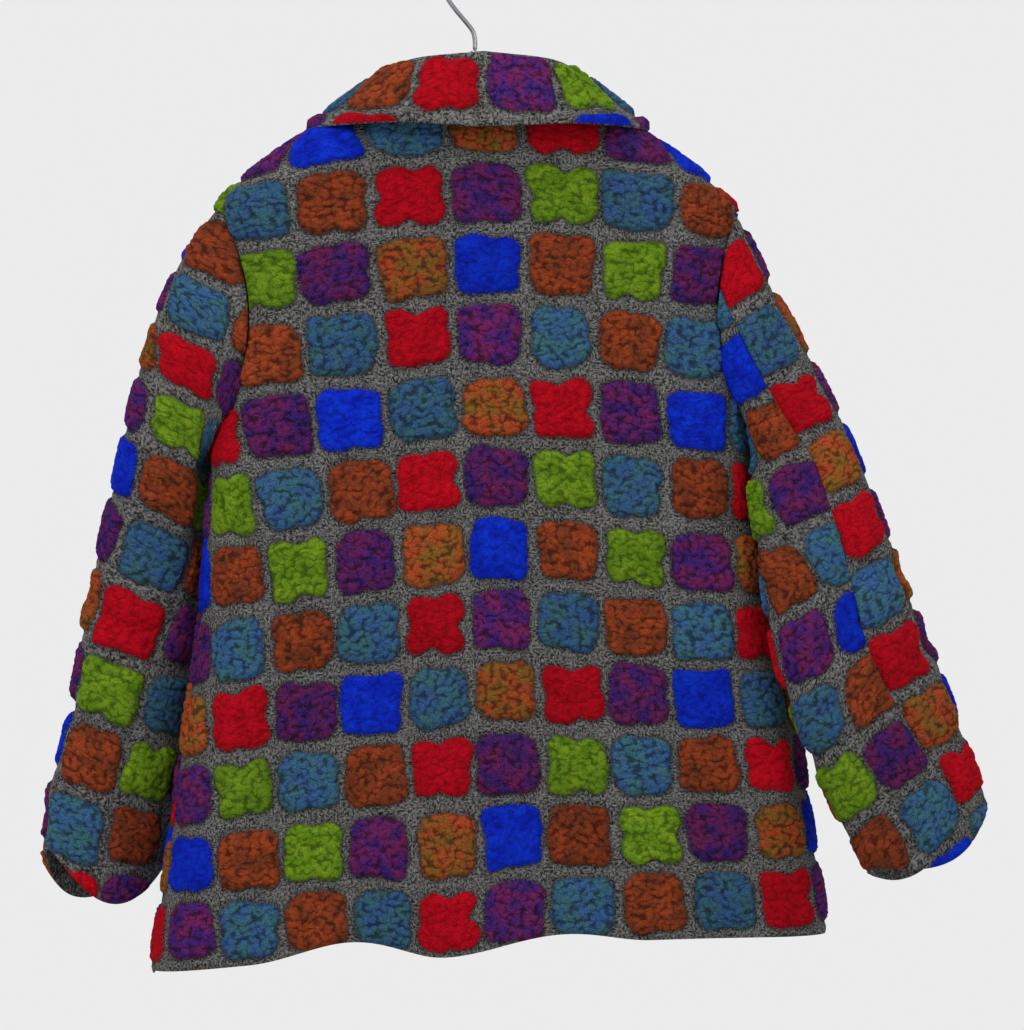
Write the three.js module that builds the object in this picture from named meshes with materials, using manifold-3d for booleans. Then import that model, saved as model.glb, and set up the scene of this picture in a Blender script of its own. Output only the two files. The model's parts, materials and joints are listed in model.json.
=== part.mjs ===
// Short coat of thick felted wool with raised square blocks, hung on a coat hanger.
// Millimetres, +Z up. The origin is the inside top of the hook's bend. The coat's back
// faces -Y, and its right-hand side as seen from behind is +X.
import * as THREE from 'three';
import Module from 'manifold-3d';

const wasm = await Module();
wasm.setup();

// Cloth and blocks
const WALL = 3.2; // ground cloth, inner face to outer face
const RAISE = 3.5; // height of a block over the ground
const SEAM = 0.3; // space between two sewn panels
const FOOT = 0.43; // half a collar block at its foot, in repeats
const TOP = 0.37; // half a block at its top, in repeats
const UNDER = -7; // depth to which the block cloth reaches before it is cut to its panel
const OVER = 6; // height to which a panel's cut edge reaches
const ROW = 59; // one repeat down the body
const SLEEVE_ROW = 58; // one repeat down and around a sleeve
const ROW_ZERO = -428; // height of block row 0 at the back
const CHEST = -300; // above this height the cloth is measured along the surface
const HEM_MEAN = -816;
const HEM_LEFT = -834; // hem at the left side seam
const HEM_RIGHT = -799; // hem at the right side seam

// Armhole: an upright oval on the side of the body
const ARM_MID = -300;
const ARM_RISE = 95;
const ARM_INSET = 24;
const UNDERARM = ARM_MID - ARM_RISE;
const SHOULDER_TIP = ARM_MID + ARM_RISE;

// Neckline
const NECK_HALF = 85;
const NECK_BACK = -128;
const NECK_SIDE = -115;
const NECK_FRONT = -187;

// Front opening
const OVERLAP_RIGHT = -25; // x of the upper front's edge
const OVERLAP_LEFT = 22; // x of the lower front's edge
const UNDERLAP = 9; // how far the lower front lies inside the upper one
const BUTTON_X = -2;
const BUTTON_Z = [-226, -350, -474, -598];
const BUTTON_R = 14;

// Body loop at a height: half width, middle, depth, corner length in x
const BODY = [
  [-900, 294, 15, 63.5, 60], [-860, 288, 15, 63, 60], [-808, 280, 15, 62, 60],
  [-710, 265, 15, 62, 60], [-634, 255, 14, 61, 60], [-571, 242, 11, 60, 60],
  [-509, 234, 9, 59, 60], [-447, 228, 7, 58, 60], [-395, 224, 6, 57, 60],
  [-300, 219, 4, 55, 60], [-240, 218, 3, 51, 61], [-205, 216, 2, 48, 64],
  [-181, 195, 2, 46, 68], [-163, 172, 2, 45, 71], [-143, 143, 2, 45, 72],
  [-128, 113, 2, 45.5, 72], [-115, 85, 2, 46, 70], [-100, 60, 2, 46, 46],
  [-70, 38, 2, 46, 30],
];

// Soft upright folds: middle x, half width, outward depth, height of start and of full depth
const FOLDS_BACK = [
  [-29, 82, 7, -560, -800], [118, 88, 4, -520, -820], [-165, 80, 4, -600, -830],
];
const FOLDS_FRONT = [
  [-112, 90, 6, -430, -790], [128, 95, 6, -460, -800],
];

// Block columns on the back: row, pitch left and right, droop per column left and right
const BACK_ROWS = [
  [-7, 64, 63, 6.6, 4.2], [-4, 64, 63, 6.6, 4.2], [-2, 62, 56.5, 6.6, 4.2],
  [1, 55, 55.6, 6.6, 4.2], [3, 54.7, 55, 6.4, 1.8], [6, 54, 58.5, 4.2, -2],
  [7.5, 54, 60, 3.7, -3],
];
const FRONT_PITCH = 57.5;

// Sleeve rings: height and x, y of the middle, half width, depth back and front,
// twist and tilt in degrees
const SLEEVE_RIGHT = {
  side: 1, twistWay: 1, cuffBow: 28, seamStart: 0.2,
  rings: [
    [-430, 273, -18, 50, 44, 34, 20, 14], [-488, 289, -36, 54, 44, 34, 24, 17],
    [-550, 310, -46, 57, 42, 32, 25, 19], [-613, 335.5, -50, 60, 39, 32, 25, 22],
    [-670, 357, -50, 60, 37, 32, 25, 22], [-719, 378, -46, 58, 35, 32, 25, 23],
  ],
  capTop: [0.4, 0, -0.92], capBottom: [0.95, 0, -0.3], capBack: -0.3, capFront: 0,
  rowStart: 6, upperShift: -15, upperStep: -7, underShift: 0, underStep: 7,
};
const SLEEVE_LEFT = {
  side: -1, twistWay: -1, cuffBow: 40, seamStart: 0,
  rings: [
    [-430, -249, 22, 49, 38, 42, 20, 12], [-510, -262, 42, 54, 34, 42, 24, 12],
    [-571, -275.5, 46, 58, 33, 40, 25, 10], [-634, -286, 48, 60, 32, 38, 25, 10],
    [-700, -305, 48, 60, 32, 36, 25, 8], [-742, -311, 46, 57, 32, 35, 25, 6],
  ],
  capTop: [-0.65, 0, -0.75], capBottom: [-0.95, 0, -0.3], capBack: -0.1, capFront: 0.25,
  rowStart: 8, upperShift: 0, upperStep: -13, underShift: 3, underStep: 3,
};
const BACK_SEAM = 72; // degrees round the sleeve from its outer fold
const FRONT_SEAM = 262;
const ARM_TURNS = [151, 125, 98, 72, 50, 28]; // where body and sleeve share a seam point
const SLEEVE_CLEAR = 12; // least distance of a sleeve from the body loop

// Collar: length from the centre back, fold x, y, z, outer edge x, y, z
const COLLAR = [
  [0, 0, -56, -77, 0, -77, -129], [70, 58, -50, -78, 76, -75, -124],
  [150, 93, 0, -90, 145, 0, -127], [230, 76, 58, -128, 126, 74, -183],
  [310, 13, 52, -176, 70, 76, -262],
];
const COLLAR_X = 3;
const COLLAR_PITCH = 61;

// Hanger
const BAR_TOP = [
  [0, -94.3], [24, -95.8], [55, -106.3], [85, -120.3], [113, -133.8], [143, -148.8],
  [172, -169.3], [190, -185.3], [199, -198.3],
];
const BAR_DEPTH = 26;
const BAR_THICK = 12;
const HOOK_R = 24; // hook bend, to the middle of the wire
const WIRE_R = 2;

const rad = Math.PI / 180;
const clamp = (v, a, b) => Math.min(b, Math.max(a, v));
const smooth = (a, b, v) => {
  const t = clamp((v - a) / (b - a), 0, 1);
  return t * t * (3 - 2 * t);
};
const mix = (a, b, t) => a + (b - a) * t;
// A value that goes on as it is up to a limit and then runs on by no more than a little.
const ease = (v, limit, more) => (v <= limit ? v : limit + more * (1 - Math.exp((limit - v) / more)));

// A table read smoothly by its first column, straight past its ends and never overshooting.
function readTable(rows, at) {
  const last = rows.length - 1;
  let i = 0;
  while (i < last - 1 && at > rows[i + 1][0]) i++;
  const step = (j, k) => (rows[j + 1][k] - rows[j][k]) / (rows[j + 1][0] - rows[j][0]);
  const slope = (j, k) => {
    if (j === 0) return step(0, k);
    if (j === last) return step(last - 1, k);
    const a = step(j - 1, k);
    const b = step(j, k);
    return a * b <= 0 ? 0 : (2 * a * b) / (a + b);
  };
  const low = rows[i];
  const high = rows[i + 1];
  const span = high[0] - low[0];
  const inside = clamp(at, rows[0][0], rows[last][0]);
  const t = (inside - low[0]) / span;
  return low.map((_, k) => {
    const a = slope(i, k);
    const b = slope(i + 1, k);
    const t2 = t * t;
    const t3 = t2 * t;
    const value = low[k] * (2 * t3 - 3 * t2 + 1) + high[k] * (3 * t2 - 2 * t3)
      + span * (a * (t3 - 2 * t2 + t) + b * (t3 - t2));
    return value + (at - inside) * (t > 0.5 ? b : a);
  });
}

function loopAt(z) {
  const [, half, mid, deep, ex] = readTable(BODY, z);
  const quarter = (Math.PI / 4) * (3 * (ex + deep) - Math.sqrt((3 * ex + deep) * (ex + 3 * deep)));
  return { half, mid, deep, ex, flat: half - ex, quarter };
}

const foldDepth = (folds, x, z) => folds.reduce((sum, [x0, w, deep, start, full]) => {
  const off = Math.abs(x - x0) / w;
  return off >= 1 ? sum : sum + deep * Math.cos((off * Math.PI) / 2) ** 2 * smooth(start, full, z);
}, 0);

// Outer face of the body: s is length round the loop, face is -1 at the back and 1 in front.
function bodyPoint(s, z, face, lap = 0) {
  const { mid, deep, ex, flat, quarter } = loopAt(z);
  const side = s < mid ? -1 : 1;
  const beyond = ease(Math.max(0, Math.abs(s - mid) - flat), quarter + 12, 16);
  const angle = (Math.PI / 2) * (1 - beyond / quarter);
  const x = beyond > 0 ? mid + side * (flat + ex * Math.cos(angle)) : s;
  const folds = foldDepth(face < 0 ? FOLDS_BACK : FOLDS_FRONT, x, z);
  const y = deep * Math.sin(angle) + folds - lap * UNDERLAP * smooth(-85, -36, x);
  return new THREE.Vector3(x, face * y, z);
}

function bodyNormal(s, z, face, lap = 0) {
  const e = 0.5;
  const ds = bodyPoint(s + e, z, face, lap).sub(bodyPoint(s - e, z, face, lap));
  const dz = bodyPoint(s, z + e, face, lap).sub(bodyPoint(s, z - e, face, lap));
  return ds.cross(dz).multiplyScalar(-face).normalize();
}

// Length round the loop at a given x.
function sOfX(x, z) {
  const { mid, ex, flat, quarter } = loopAt(z);
  const side = x < mid ? -1 : 1;
  const beyond = Math.abs(x - mid) - flat;
  if (beyond <= 0) return x;
  const angle = Math.acos(clamp(beyond / ex, 0, 1));
  return mid + side * (flat + quarter * (1 - angle / (Math.PI / 2)));
}

// Height reached by going up the cloth from the chest at a constant s.
function heightOf(s, v, face) {
  if (v <= CHEST) return v;
  let z = CHEST;
  let left = v - CHEST;
  let here = bodyPoint(s, z, face);
  while (z < -60) {
    const next = bodyPoint(s, z + 3, face);
    const length = here.distanceTo(next);
    if (length >= left) {
      z += (3 * left) / length;
      break;
    }
    left -= length;
    z += 3;
    here = next;
  }
  return ease(z, -106, 14);
}

// Where the edge of a body panel lies at a height: corner angle, then length round the loop.
function edgeAngle(z) {
  if (z <= UNDERARM || z >= SHOULDER_TIP) return 0;
  const { ex } = loopAt(z);
  const cos = (z - ARM_MID) / ARM_RISE;
  return Math.acos(1 - (ARM_INSET * (1 - cos * cos)) / ex);
}

function edgeS(z, side, angle = edgeAngle(z)) {
  const { mid, flat, quarter } = loopAt(z);
  return mid + side * (flat + quarter * (1 - angle / (Math.PI / 2)));
}

// Block grid to cloth on the back and on the fronts: column, row to s, v.
function backCloth(c, r) {
  const [, left, right, dropLeft, dropRight] = readTable(BACK_ROWS, r);
  const s = 14 + 2.1 * r + c * (c < 0 ? left : right);
  const bend = Math.sqrt(c * c + 0.3) - 0.55;
  const dip = 8 * Math.exp(-(((c + 1) / 0.8) ** 2)) * smooth(4.3, 5.6, r);
  return [s, ROW_ZERO - ROW * r - bend * (c < 0 ? dropLeft : dropRight) - dip];
}

function frontCloth(c, r) {
  const s = 14 + FRONT_PITCH * c;
  return [s, ROW_ZERO - ROW * r - 5.5 + 0.0576 * s * clamp((r + 4) / 10.5, 0, 1)];
}

function hemHeight(s, face) {
  if (face > 0) return frontCloth((s - 14) / FRONT_PITCH, 6.5)[1];
  const [, left, right] = readTable(BACK_ROWS, 6.5);
  const c = s - 27.65;
  return backCloth(c / (c < 0 ? left : right), 6.5)[1];
}

// Sleeve surface. Turn is measured in radians from the outer fold over the back, v down
// the sleeve from the underarm ring, less than 0 over the cap.
function ringRows(sleeve) {
  let v = 0;
  let before = null;
  return sleeve.rings.map(([z, x, y, ...rest]) => {
    const here = new THREE.Vector3(x, y, z);
    if (before) v += here.distanceTo(before);
    before = here;
    return [v, x, y, z, ...rest];
  });
}
for (const sleeve of [SLEEVE_RIGHT, SLEEVE_LEFT]) {
  sleeve.table = ringRows(sleeve);
  sleeve.cuff = sleeve.table.at(-1)[0];
}

function ringPoint(sleeve, turn, v) {
  const [, x, y, z, wide, back, front, twist, tilt] = readTable(sleeve.table, v);
  const cosTilt = Math.cos(tilt * rad);
  const outer = new THREE.Vector3(sleeve.side * cosTilt, 0, Math.sin(tilt * rad));
  const cosTwist = Math.cos(twist * rad);
  const sinTwist = Math.sin(twist * rad) * sleeve.twistWay;
  const along = outer.clone().multiplyScalar(cosTwist).add(new THREE.Vector3(0, sinTwist, 0));
  const across = outer.multiplyScalar(sinTwist).add(new THREE.Vector3(0, -cosTwist, 0));
  const deep = Math.sin(turn) > 0 ? back : front;
  return new THREE.Vector3(x, y, z)
    .addScaledVector(along, wide * Math.cos(turn))
    .addScaledVector(across, deep * Math.sin(turn));
}

function armholePoint(sleeve, turn) {
  const z = ARM_MID + ARM_RISE * Math.cos(turn);
  const s = edgeS(z, sleeve.side) + sleeve.side * (SEAM / 2) * Math.abs(Math.sin(turn));
  return bodyPoint(s, z - SEAM * Math.cos(turn), Math.sin(turn) >= 0 ? -1 : 1);
}

function capDirection(sleeve, turn) {
  const up = (1 + Math.cos(turn)) / 2;
  const sin = Math.sin(turn);
  const d = new THREE.Vector3(...sleeve.capTop).multiplyScalar(up)
    .addScaledVector(new THREE.Vector3(...sleeve.capBottom), 1 - up);
  d.y += sin > 0 ? sleeve.capBack * sin : -sleeve.capFront * sin;
  return d.normalize();
}

const capCache = new Map();
function capColumn(sleeve, turn) {
  const key = `${sleeve.side} ${turn.toFixed(5)}`;
  if (!capCache.has(key)) {
    const start = armholePoint(sleeve, turn);
    const end = ringPoint(sleeve, turn, 0);
    const way = ringPoint(sleeve, turn, 1).sub(end).normalize();
    const length = start.distanceTo(end) * 1.04;
    capCache.set(key, { start, end, way, length, first: capDirection(sleeve, turn) });
  }
  return capCache.get(key);
}

// Moves a point of the sleeve away from the body loop where the two would touch.
function keepClear(p, clear, weight) {
  const { mid, deep, ex, flat } = loopAt(p.z);
  const side = p.x < mid ? -1 : 1;
  const dx = Math.max(0, Math.abs(p.x - mid) - flat);
  const rho = Math.hypot(dx / ex, p.y / deep);
  const gx = dx / (ex * ex);
  const gy = p.y / (deep * deep);
  const g = Math.hypot(gx, gy);
  const short = clear - ((rho - 1) * rho) / g;
  const push = (weight * (short + Math.sqrt(short * short + 40))) / 2;
  p.x += (side * gx * push) / g;
  p.y += (gy * push) / g;
  return p;
}

function sleevePoint(sleeve, turn, v) {
  if (v >= 0) return keepClear(ringPoint(sleeve, turn, v), SLEEVE_CLEAR, 1);
  const { start, end, way, length, first } = capColumn(sleeve, turn);
  if (-v > length) {
    return start.clone().addScaledVector(first, -ease(-v - length, 0, 14));
  }
  const t = 1 + v / length;
  const t2 = t * t;
  const t3 = t2 * t;
  const p = start.clone().multiplyScalar(2 * t3 - 3 * t2 + 1)
    .addScaledVector(end, 3 * t2 - 2 * t3)
    .addScaledVector(first, length * (t3 - 2 * t2 + t))
    .addScaledVector(way, length * (t3 - t2));
  const below = length * t;
  const run = mix(45, 15, smooth(0, 0.9, -Math.cos(turn)));
  return keepClear(p, SLEEVE_CLEAR * smooth(run - 35, run, below), smooth(0, run, below));
}

function sleeveNormal(sleeve, turn, v) {
  const dTurn = sleevePoint(sleeve, turn + 0.01, v).sub(sleevePoint(sleeve, turn - 0.01, v));
  const dv = sleevePoint(sleeve, turn, v + 0.5).sub(sleevePoint(sleeve, turn, v - 0.5));
  return dTurn.cross(dv).multiplyScalar(sleeve.side).normalize();
}

// Direction of the cut edge where sleeve and body meet, half way between the two faces.
function armholeNormal(sleeve, turn) {
  const z = ARM_MID + ARM_RISE * Math.cos(turn);
  const face = Math.sin(turn) >= 0 ? -1 : 1;
  const { length } = capColumn(sleeve, turn);
  return bodyNormal(edgeS(z, sleeve.side) - sleeve.side, z, face)
    .add(sleeveNormal(sleeve, turn, 1 - length)).normalize();
}

// Length round the sleeve to the turn there and back.
function ringMean(sleeve, turn, v) {
  const [, , , , wide, back, front] = readTable(sleeve.table, Math.max(v, 0));
  const deep = Math.sin(turn) > 0 ? back : front;
  const mean = Math.sqrt((wide * wide + deep * deep) / 2);
  return [mean, (wide * wide - deep * deep) / (4 * (wide * wide + deep * deep))];
}

function turnAt(sleeve, fromTurn, length, v) {
  const [mean, bend] = ringMean(sleeve, fromTurn, v);
  const t = fromTurn - bend * Math.sin(2 * fromTurn) + length / mean;
  return t + bend * Math.sin(2 * t);
}

// A closed solid between a low and a high face over a grid of points and directions. The
// last edge can be split the other way, so that it matches the edge sewn to it.
function gridSolid(points, normals, low, high, turned = false) {
  const rows = points.length;
  const cols = points[0].length;
  const vertices = [];
  const triangles = [];
  for (const level of [low, high]) {
    for (let j = 0; j < rows; j++) {
      for (let i = 0; i < cols; i++) {
        const lift = typeof level === 'function' ? level(j, i) : level;
        const p = points[j][i].clone().addScaledVector(normals[j][i], lift);
        vertices.push(p.x, p.y, p.z);
      }
    }
  }
  const at = (j, i, top) => top * rows * cols + j * cols + i;
  const quad = (a, b, c, d) => triangles.push(a, b, c, a, c, d);
  for (let j = 0; j < rows - 1; j++) {
    for (let i = 0; i < cols - 1; i++) {
      quad(at(j, i, 1), at(j, i + 1, 1), at(j + 1, i + 1, 1), at(j + 1, i, 1));
      quad(at(j, i, 0), at(j + 1, i, 0), at(j + 1, i + 1, 0), at(j, i + 1, 0));
    }
  }
  for (let i = 0; i < cols - 1; i++) {
    quad(at(0, i, 0), at(0, i + 1, 0), at(0, i + 1, 1), at(0, i, 1));
    quad(at(rows - 1, i + 1, 0), at(rows - 1, i, 0), at(rows - 1, i, 1), at(rows - 1, i + 1, 1));
  }
  for (let j = 0; j < rows - 1; j++) {
    quad(at(j + 1, 0, 0), at(j, 0, 0), at(j, 0, 1), at(j + 1, 0, 1));
    const edge = [at(j, cols - 1, 0), at(j + 1, cols - 1, 0), at(j + 1, cols - 1, 1)];
    if (turned) quad(edge[1], edge[2], at(j, cols - 1, 1), edge[0]);
    else quad(...edge, at(j, cols - 1, 1));
  }
  return { vertices, triangles };
}

// Cloth with a raised square block in every cell from c0, r0 to c1, r1: place(c, r) gives
// the point and direction on the outer face, cuts(c, r) the pieces each block is bent in
// across and down. Blocks meet in a groove at the height of the ground.
function blockCloth(place, [c0, c1, r0, r1], cutsAcross, cutsDown) {
  const vertices = [];
  const triangles = [];
  const known = new Map();
  const vertex = (c, r, lift) => {
    const key = `${c.toFixed(4)} ${r.toFixed(4)} ${lift}`;
    if (!known.has(key)) {
      const { point, normal } = place(c, r);
      const p = point.addScaledVector(normal, lift);
      known.set(key, vertices.length / 3);
      vertices.push(p.x, p.y, p.z);
    }
    return known.get(key);
  };
  const quad = (a, b, c, d) => triangles.push(a, b, c, a, c, d);
  for (let c = c0; c <= c1; c++) {
    for (let r = r0; r <= r1; r++) {
      const [n, m] = [cutsAcross(c), cutsDown(r)];
      const border = (i, j) => [c - 0.5 + i / n, r - 0.5 + j / m];
      const edge = (i, j) => vertex(...border(i, j), 0);
      const under = (i, j) => vertex(...border(i, j), UNDER);
      const top = (i, j) => vertex(c + TOP * ((2 * i) / n - 1), r + TOP * ((2 * j) / m - 1), RAISE);
      for (let i = 0; i < n; i++) {
        quad(edge(i, m), edge(i + 1, m), top(i + 1, m), top(i, m));
        quad(top(i, 0), top(i + 1, 0), edge(i + 1, 0), edge(i, 0));
        for (let j = 0; j < m; j++) {
          quad(top(i, j + 1), top(i + 1, j + 1), top(i + 1, j), top(i, j));
          quad(under(i, j), under(i + 1, j), under(i + 1, j + 1), under(i, j + 1));
        }
        if (r === r0) quad(edge(i, 0), edge(i + 1, 0), under(i + 1, 0), under(i, 0));
        if (r === r1) quad(under(i, m), under(i + 1, m), edge(i + 1, m), edge(i, m));
      }
      for (let j = 0; j < m; j++) {
        quad(edge(n, j + 1), edge(n, j), top(n, j), top(n, j + 1));
        quad(top(0, j + 1), top(0, j), edge(0, j), edge(0, j + 1));
        if (c === c0) quad(edge(0, j + 1), edge(0, j), under(0, j), under(0, j + 1));
        if (c === c1) quad(under(n, j + 1), under(n, j), edge(n, j), edge(n, j + 1));
      }
    }
  }
  return { vertices, triangles };
}

function solidOf({ vertices, triangles }) {
  const build = (order) => new wasm.Manifold(new wasm.Mesh({
    numProp: 3, vertProperties: new Float32Array(vertices), triVerts: new Uint32Array(order),
  }));
  const solid = build(triangles);
  return solid.volume() > 0 ? solid : build(triangles.slice().reverse());
}

function geometryOf(solid) {
  const { vertProperties, triVerts } = solid.getMesh();
  const geometry = new THREE.BufferGeometry();
  geometry.setAttribute('position', new THREE.BufferAttribute(new Float32Array(vertProperties), 3));
  geometry.setIndex(new THREE.BufferAttribute(new Uint32Array(triVerts), 1));
  geometry.computeVertexNormals();
  return geometry;
}

// Heights of the rows of a body panel at its side edge.
const EDGE_ROWS = [
  HEM_MEAN, -740, -650, -540, -450, UNDERARM,
  ...ARM_TURNS.map((turn) => ARM_MID + ARM_RISE * Math.cos(turn * rad)),
  SHOULDER_TIP, -186, -163, -143, -128, NECK_SIDE,
];

const hemShare = (z) => clamp((-600 - z) / (-600 - HEM_MEAN), 0, 1);

function edgeHeight(base, side) {
  return base + hemShare(base) * ((side < 0 ? HEM_LEFT : HEM_RIGHT) - HEM_MEAN);
}

function edgeOf(base, side, face) {
  const z = edgeHeight(base, side);
  const s = edgeS(z, side) - (side * SEAM) / 2;
  const sleeve = side > 0 ? SLEEVE_RIGHT : SLEEVE_LEFT;
  if (base < UNDERARM || base > SHOULDER_TIP) {
    return { s, z, normal: null };
  }
  const turn = Math.acos(clamp((base - ARM_MID) / ARM_RISE, -1, 1));
  return { s, z, normal: armholeNormal(sleeve, face < 0 ? turn : -turn) };
}

function backRegion() {
  const points = [];
  const normals = [];
  const n = 8;
  for (const base of EDGE_ROWS) {
    const rowPoints = [];
    const rowNormals = [];
    const sag = 13 * smooth(SHOULDER_TIP, NECK_SIDE, base);
    for (let i = -n; i <= n; i++) {
      const side = i < 0 ? -1 : 1;
      const edge = edgeOf(base, side, -1);
      const { mid, flat, ex } = loopAt(edge.z);
      const edgeX = mid + side * (flat + ex * Math.cos(edgeAngle(edge.z)));
      const share = Math.sin((Math.PI / 2) * Math.abs(i / n));
      let s = edge.s;
      let z = edge.z;
      if (Math.abs(i) < n) {
        const x = mix(mid, edgeX, share);
        z = base - sag * (1 - share * share);
        if (base < -600) {
          const rough = hemHeight(sOfX(x, base), -1);
          const off = (side < 0 ? HEM_LEFT : HEM_RIGHT) - hemHeight(edge.s, -1);
          z += hemShare(base) * (rough + off * share * share - HEM_MEAN);
        }
        s = sOfX(x, z);
      }
      rowPoints.push(bodyPoint(s, z, -1));
      rowNormals.push(Math.abs(i) === n && edge.normal ? edge.normal : bodyNormal(s, z, -1));
    }
    points.push(rowPoints);
    normals.push(rowNormals);
  }
  return gridSolid(points, normals, -WALL, OVER, true);
}

function frontRegion(side) {
  const points = [];
  const normals = [];
  const n = 10;
  const lap = side < 0 ? 1 : 0;
  const centre = side < 0 ? OVERLAP_LEFT : OVERLAP_RIGHT;
  for (const base of EDGE_ROWS) {
    const rowPoints = [];
    const rowNormals = [];
    const edge = edgeOf(base, side, 1);
    const { mid, flat, ex } = loopAt(edge.z);
    const edgeX = mid + side * (flat + ex * Math.cos(edgeAngle(edge.z)));
    const rise = clamp((base - UNDERARM) / (NECK_SIDE - UNDERARM), 0, 1);
    const centreZ = base <= UNDERARM ? base : mix(UNDERARM, NECK_FRONT, rise);
    for (let i = 0; i <= n; i++) {
      const t = i / n;
      const share = mix(t, Math.sin((Math.PI / 2) * t), 0.8);
      const x = mix(centre, edgeX, share);
      let { s, z } = edge;
      if (i < n) {
        const reach = clamp(x / edgeX, 0, 1) ** mix(1, 2.2, rise);
        z = mix(centreZ, base, base <= UNDERARM ? 0 : reach);
        if (base < -600) {
          const rough = hemHeight(sOfX(x, base), 1);
          const off = (side < 0 ? HEM_LEFT : HEM_RIGHT) - hemHeight(edge.s, 1);
          z += hemShare(base) * (rough + off * share * share - HEM_MEAN);
        }
        s = sOfX(x, z);
      }
      rowPoints.push(bodyPoint(s, z, 1, lap));
      rowNormals.push(i === n && edge.normal ? edge.normal : bodyNormal(s, z, 1, lap));
    }
    points.push(rowPoints);
    normals.push(rowNormals);
  }
  return gridSolid(points, normals, -WALL, OVER);
}

const onBack = (c, r) => {
  const [s, v] = backCloth(c, r);
  const z = heightOf(s, v, -1);
  return { point: bodyPoint(s, z, -1), normal: bodyNormal(s, z, -1) };
};
const onFront = (lap) => (c, r) => {
  const [s, v] = frontCloth(c, r);
  const z = heightOf(s, v, 1);
  return { point: bodyPoint(s, z, 1, lap), normal: bodyNormal(s, z, 1, lap) };
};

function sleeveRegion(sleeve, upper) {
  const turns = [...ARM_TURNS.toReversed(), 180, ...ARM_TURNS.map((turn) => 360 - turn)];
  const round = [...turns.map((turn) => turn - 360), 0, ...turns];
  const from = round.indexOf(upper ? FRONT_SEAM - 360 : BACK_SEAM);
  const to = round.indexOf(upper ? BACK_SEAM : FRONT_SEAM);
  const points = [];
  const normals = [];
  for (const row of [0, 0.15, 0.35, 0.65, 1, 1.25, 1.5, 1.75, 2]) {
    const rowPoints = [];
    const rowNormals = [];
    for (let i = from; i <= to; i++) {
      const turn = round[i] * rad;
      const { length } = capColumn(sleeve, turn);
      const bow = sleeve.cuffBow * Math.sin(turn) ** 2 * smooth(1.4, 2, row);
      const v = row <= 1 ? -length * (1 - row) : (sleeve.cuff) * (row - 1) + bow;
      const point = sleevePoint(sleeve, turn, v);
      const normal = row === 0 ? armholeNormal(sleeve, turn) : sleeveNormal(sleeve, turn, v);
      const onward = sleevePoint(sleeve, turn + 0.01, v).sub(point);
      onward.addScaledVector(normal, -onward.dot(normal)).normalize();
      rowPoints.push(point.addScaledVector(onward, ((i === from) - (i === to)) * 0.6 * SEAM));
      rowNormals.push(normal);
    }
    points.push(rowPoints);
    normals.push(rowNormals);
  }
  return gridSolid(points, normals, -WALL, OVER, true);
}

const onSleeve = (sleeve, upper) => (c, r) => {
  const shift = upper ? sleeve.upperShift + sleeve.upperStep * c
    : sleeve.underShift + sleeve.underStep * c;
  const v = sleeve.rowStart + SLEEVE_ROW * (r + 3) + shift;
  const taken = sleeve.seamStart * clamp(1 - (v + 200) / (sleeve.cuff + 200), 0, 1);
  const length = SLEEVE_ROW * (c + 0.5 - taken) * (upper ? -1 : 1);
  const [low, high] = upper ? [FRONT_SEAM - 360, BACK_SEAM] : [BACK_SEAM, FRONT_SEAM];
  const there = turnAt(sleeve, BACK_SEAM * rad, length, v);
  const turn = -ease(-ease(there, (high + 6) * rad, 0.2), (6 - low) * rad, 0.2);
  return { point: sleevePoint(sleeve, turn, v), normal: sleeveNormal(sleeve, turn, v) };
};

// Collar: one sheet up the stand (t 0 to 1), over the fold and down the fall (t 1 to 2).
function neckAt(u) {
  const side = u < 0 ? -1 : 1;
  const far = Math.abs(u);
  const face = far < 150 ? -1 : 1;
  const share = far < 150 ? Math.sin((Math.PI / 2) * (far / 150))
    : mix(10 / NECK_HALF, 1, Math.cos((Math.PI / 2) * ((far - 150) / 160)));
  const z = face < 0 ? mix(NECK_BACK, NECK_SIDE, share * share)
    : mix(NECK_FRONT, NECK_SIDE, share ** 2.2);
  const s = sOfX(2 + side * NECK_HALF * share, z);
  return { point: bodyPoint(s, z, face), normal: bodyNormal(s, z, face) };
}

function collarPoint(u, t) {
  const side = u < 0 ? -1 : 1;
  const [, fx, fy, fz, ex, ey, ez] = readTable(COLLAR, Math.abs(u));
  const { point, normal } = neckAt(u);
  const start = point.addScaledVector(normal, -WALL);
  const inward = new THREE.Vector3(-start.x, -start.y, 0).normalize();
  start.addScaledVector(inward, 0.15).add(new THREE.Vector3(0, 0, 1.4));
  const fold = new THREE.Vector3(COLLAR_X + side * fx, fy, fz);
  const edge = new THREE.Vector3(COLLAR_X + side * ex, ey, ez);
  const out = edge.clone().sub(start).setZ(0).normalize();
  const hermite = (a, b, wayA, wayB, k) => a.clone().multiplyScalar(2 * k ** 3 - 3 * k * k + 1)
    .addScaledVector(b, 3 * k * k - 2 * k ** 3)
    .addScaledVector(wayA, k ** 3 - 2 * k * k + k)
    .addScaledVector(wayB, k ** 3 - k * k);
  const turnLength = Math.min(24, fold.distanceTo(start) * 0.6);
  if (t < 1) {
    return hermite(start, fold, fold.clone().sub(start), out.multiplyScalar(turnLength), t);
  }
  return hermite(fold, edge, out.multiplyScalar(24), edge.clone().sub(fold), t - 1);
}

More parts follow.
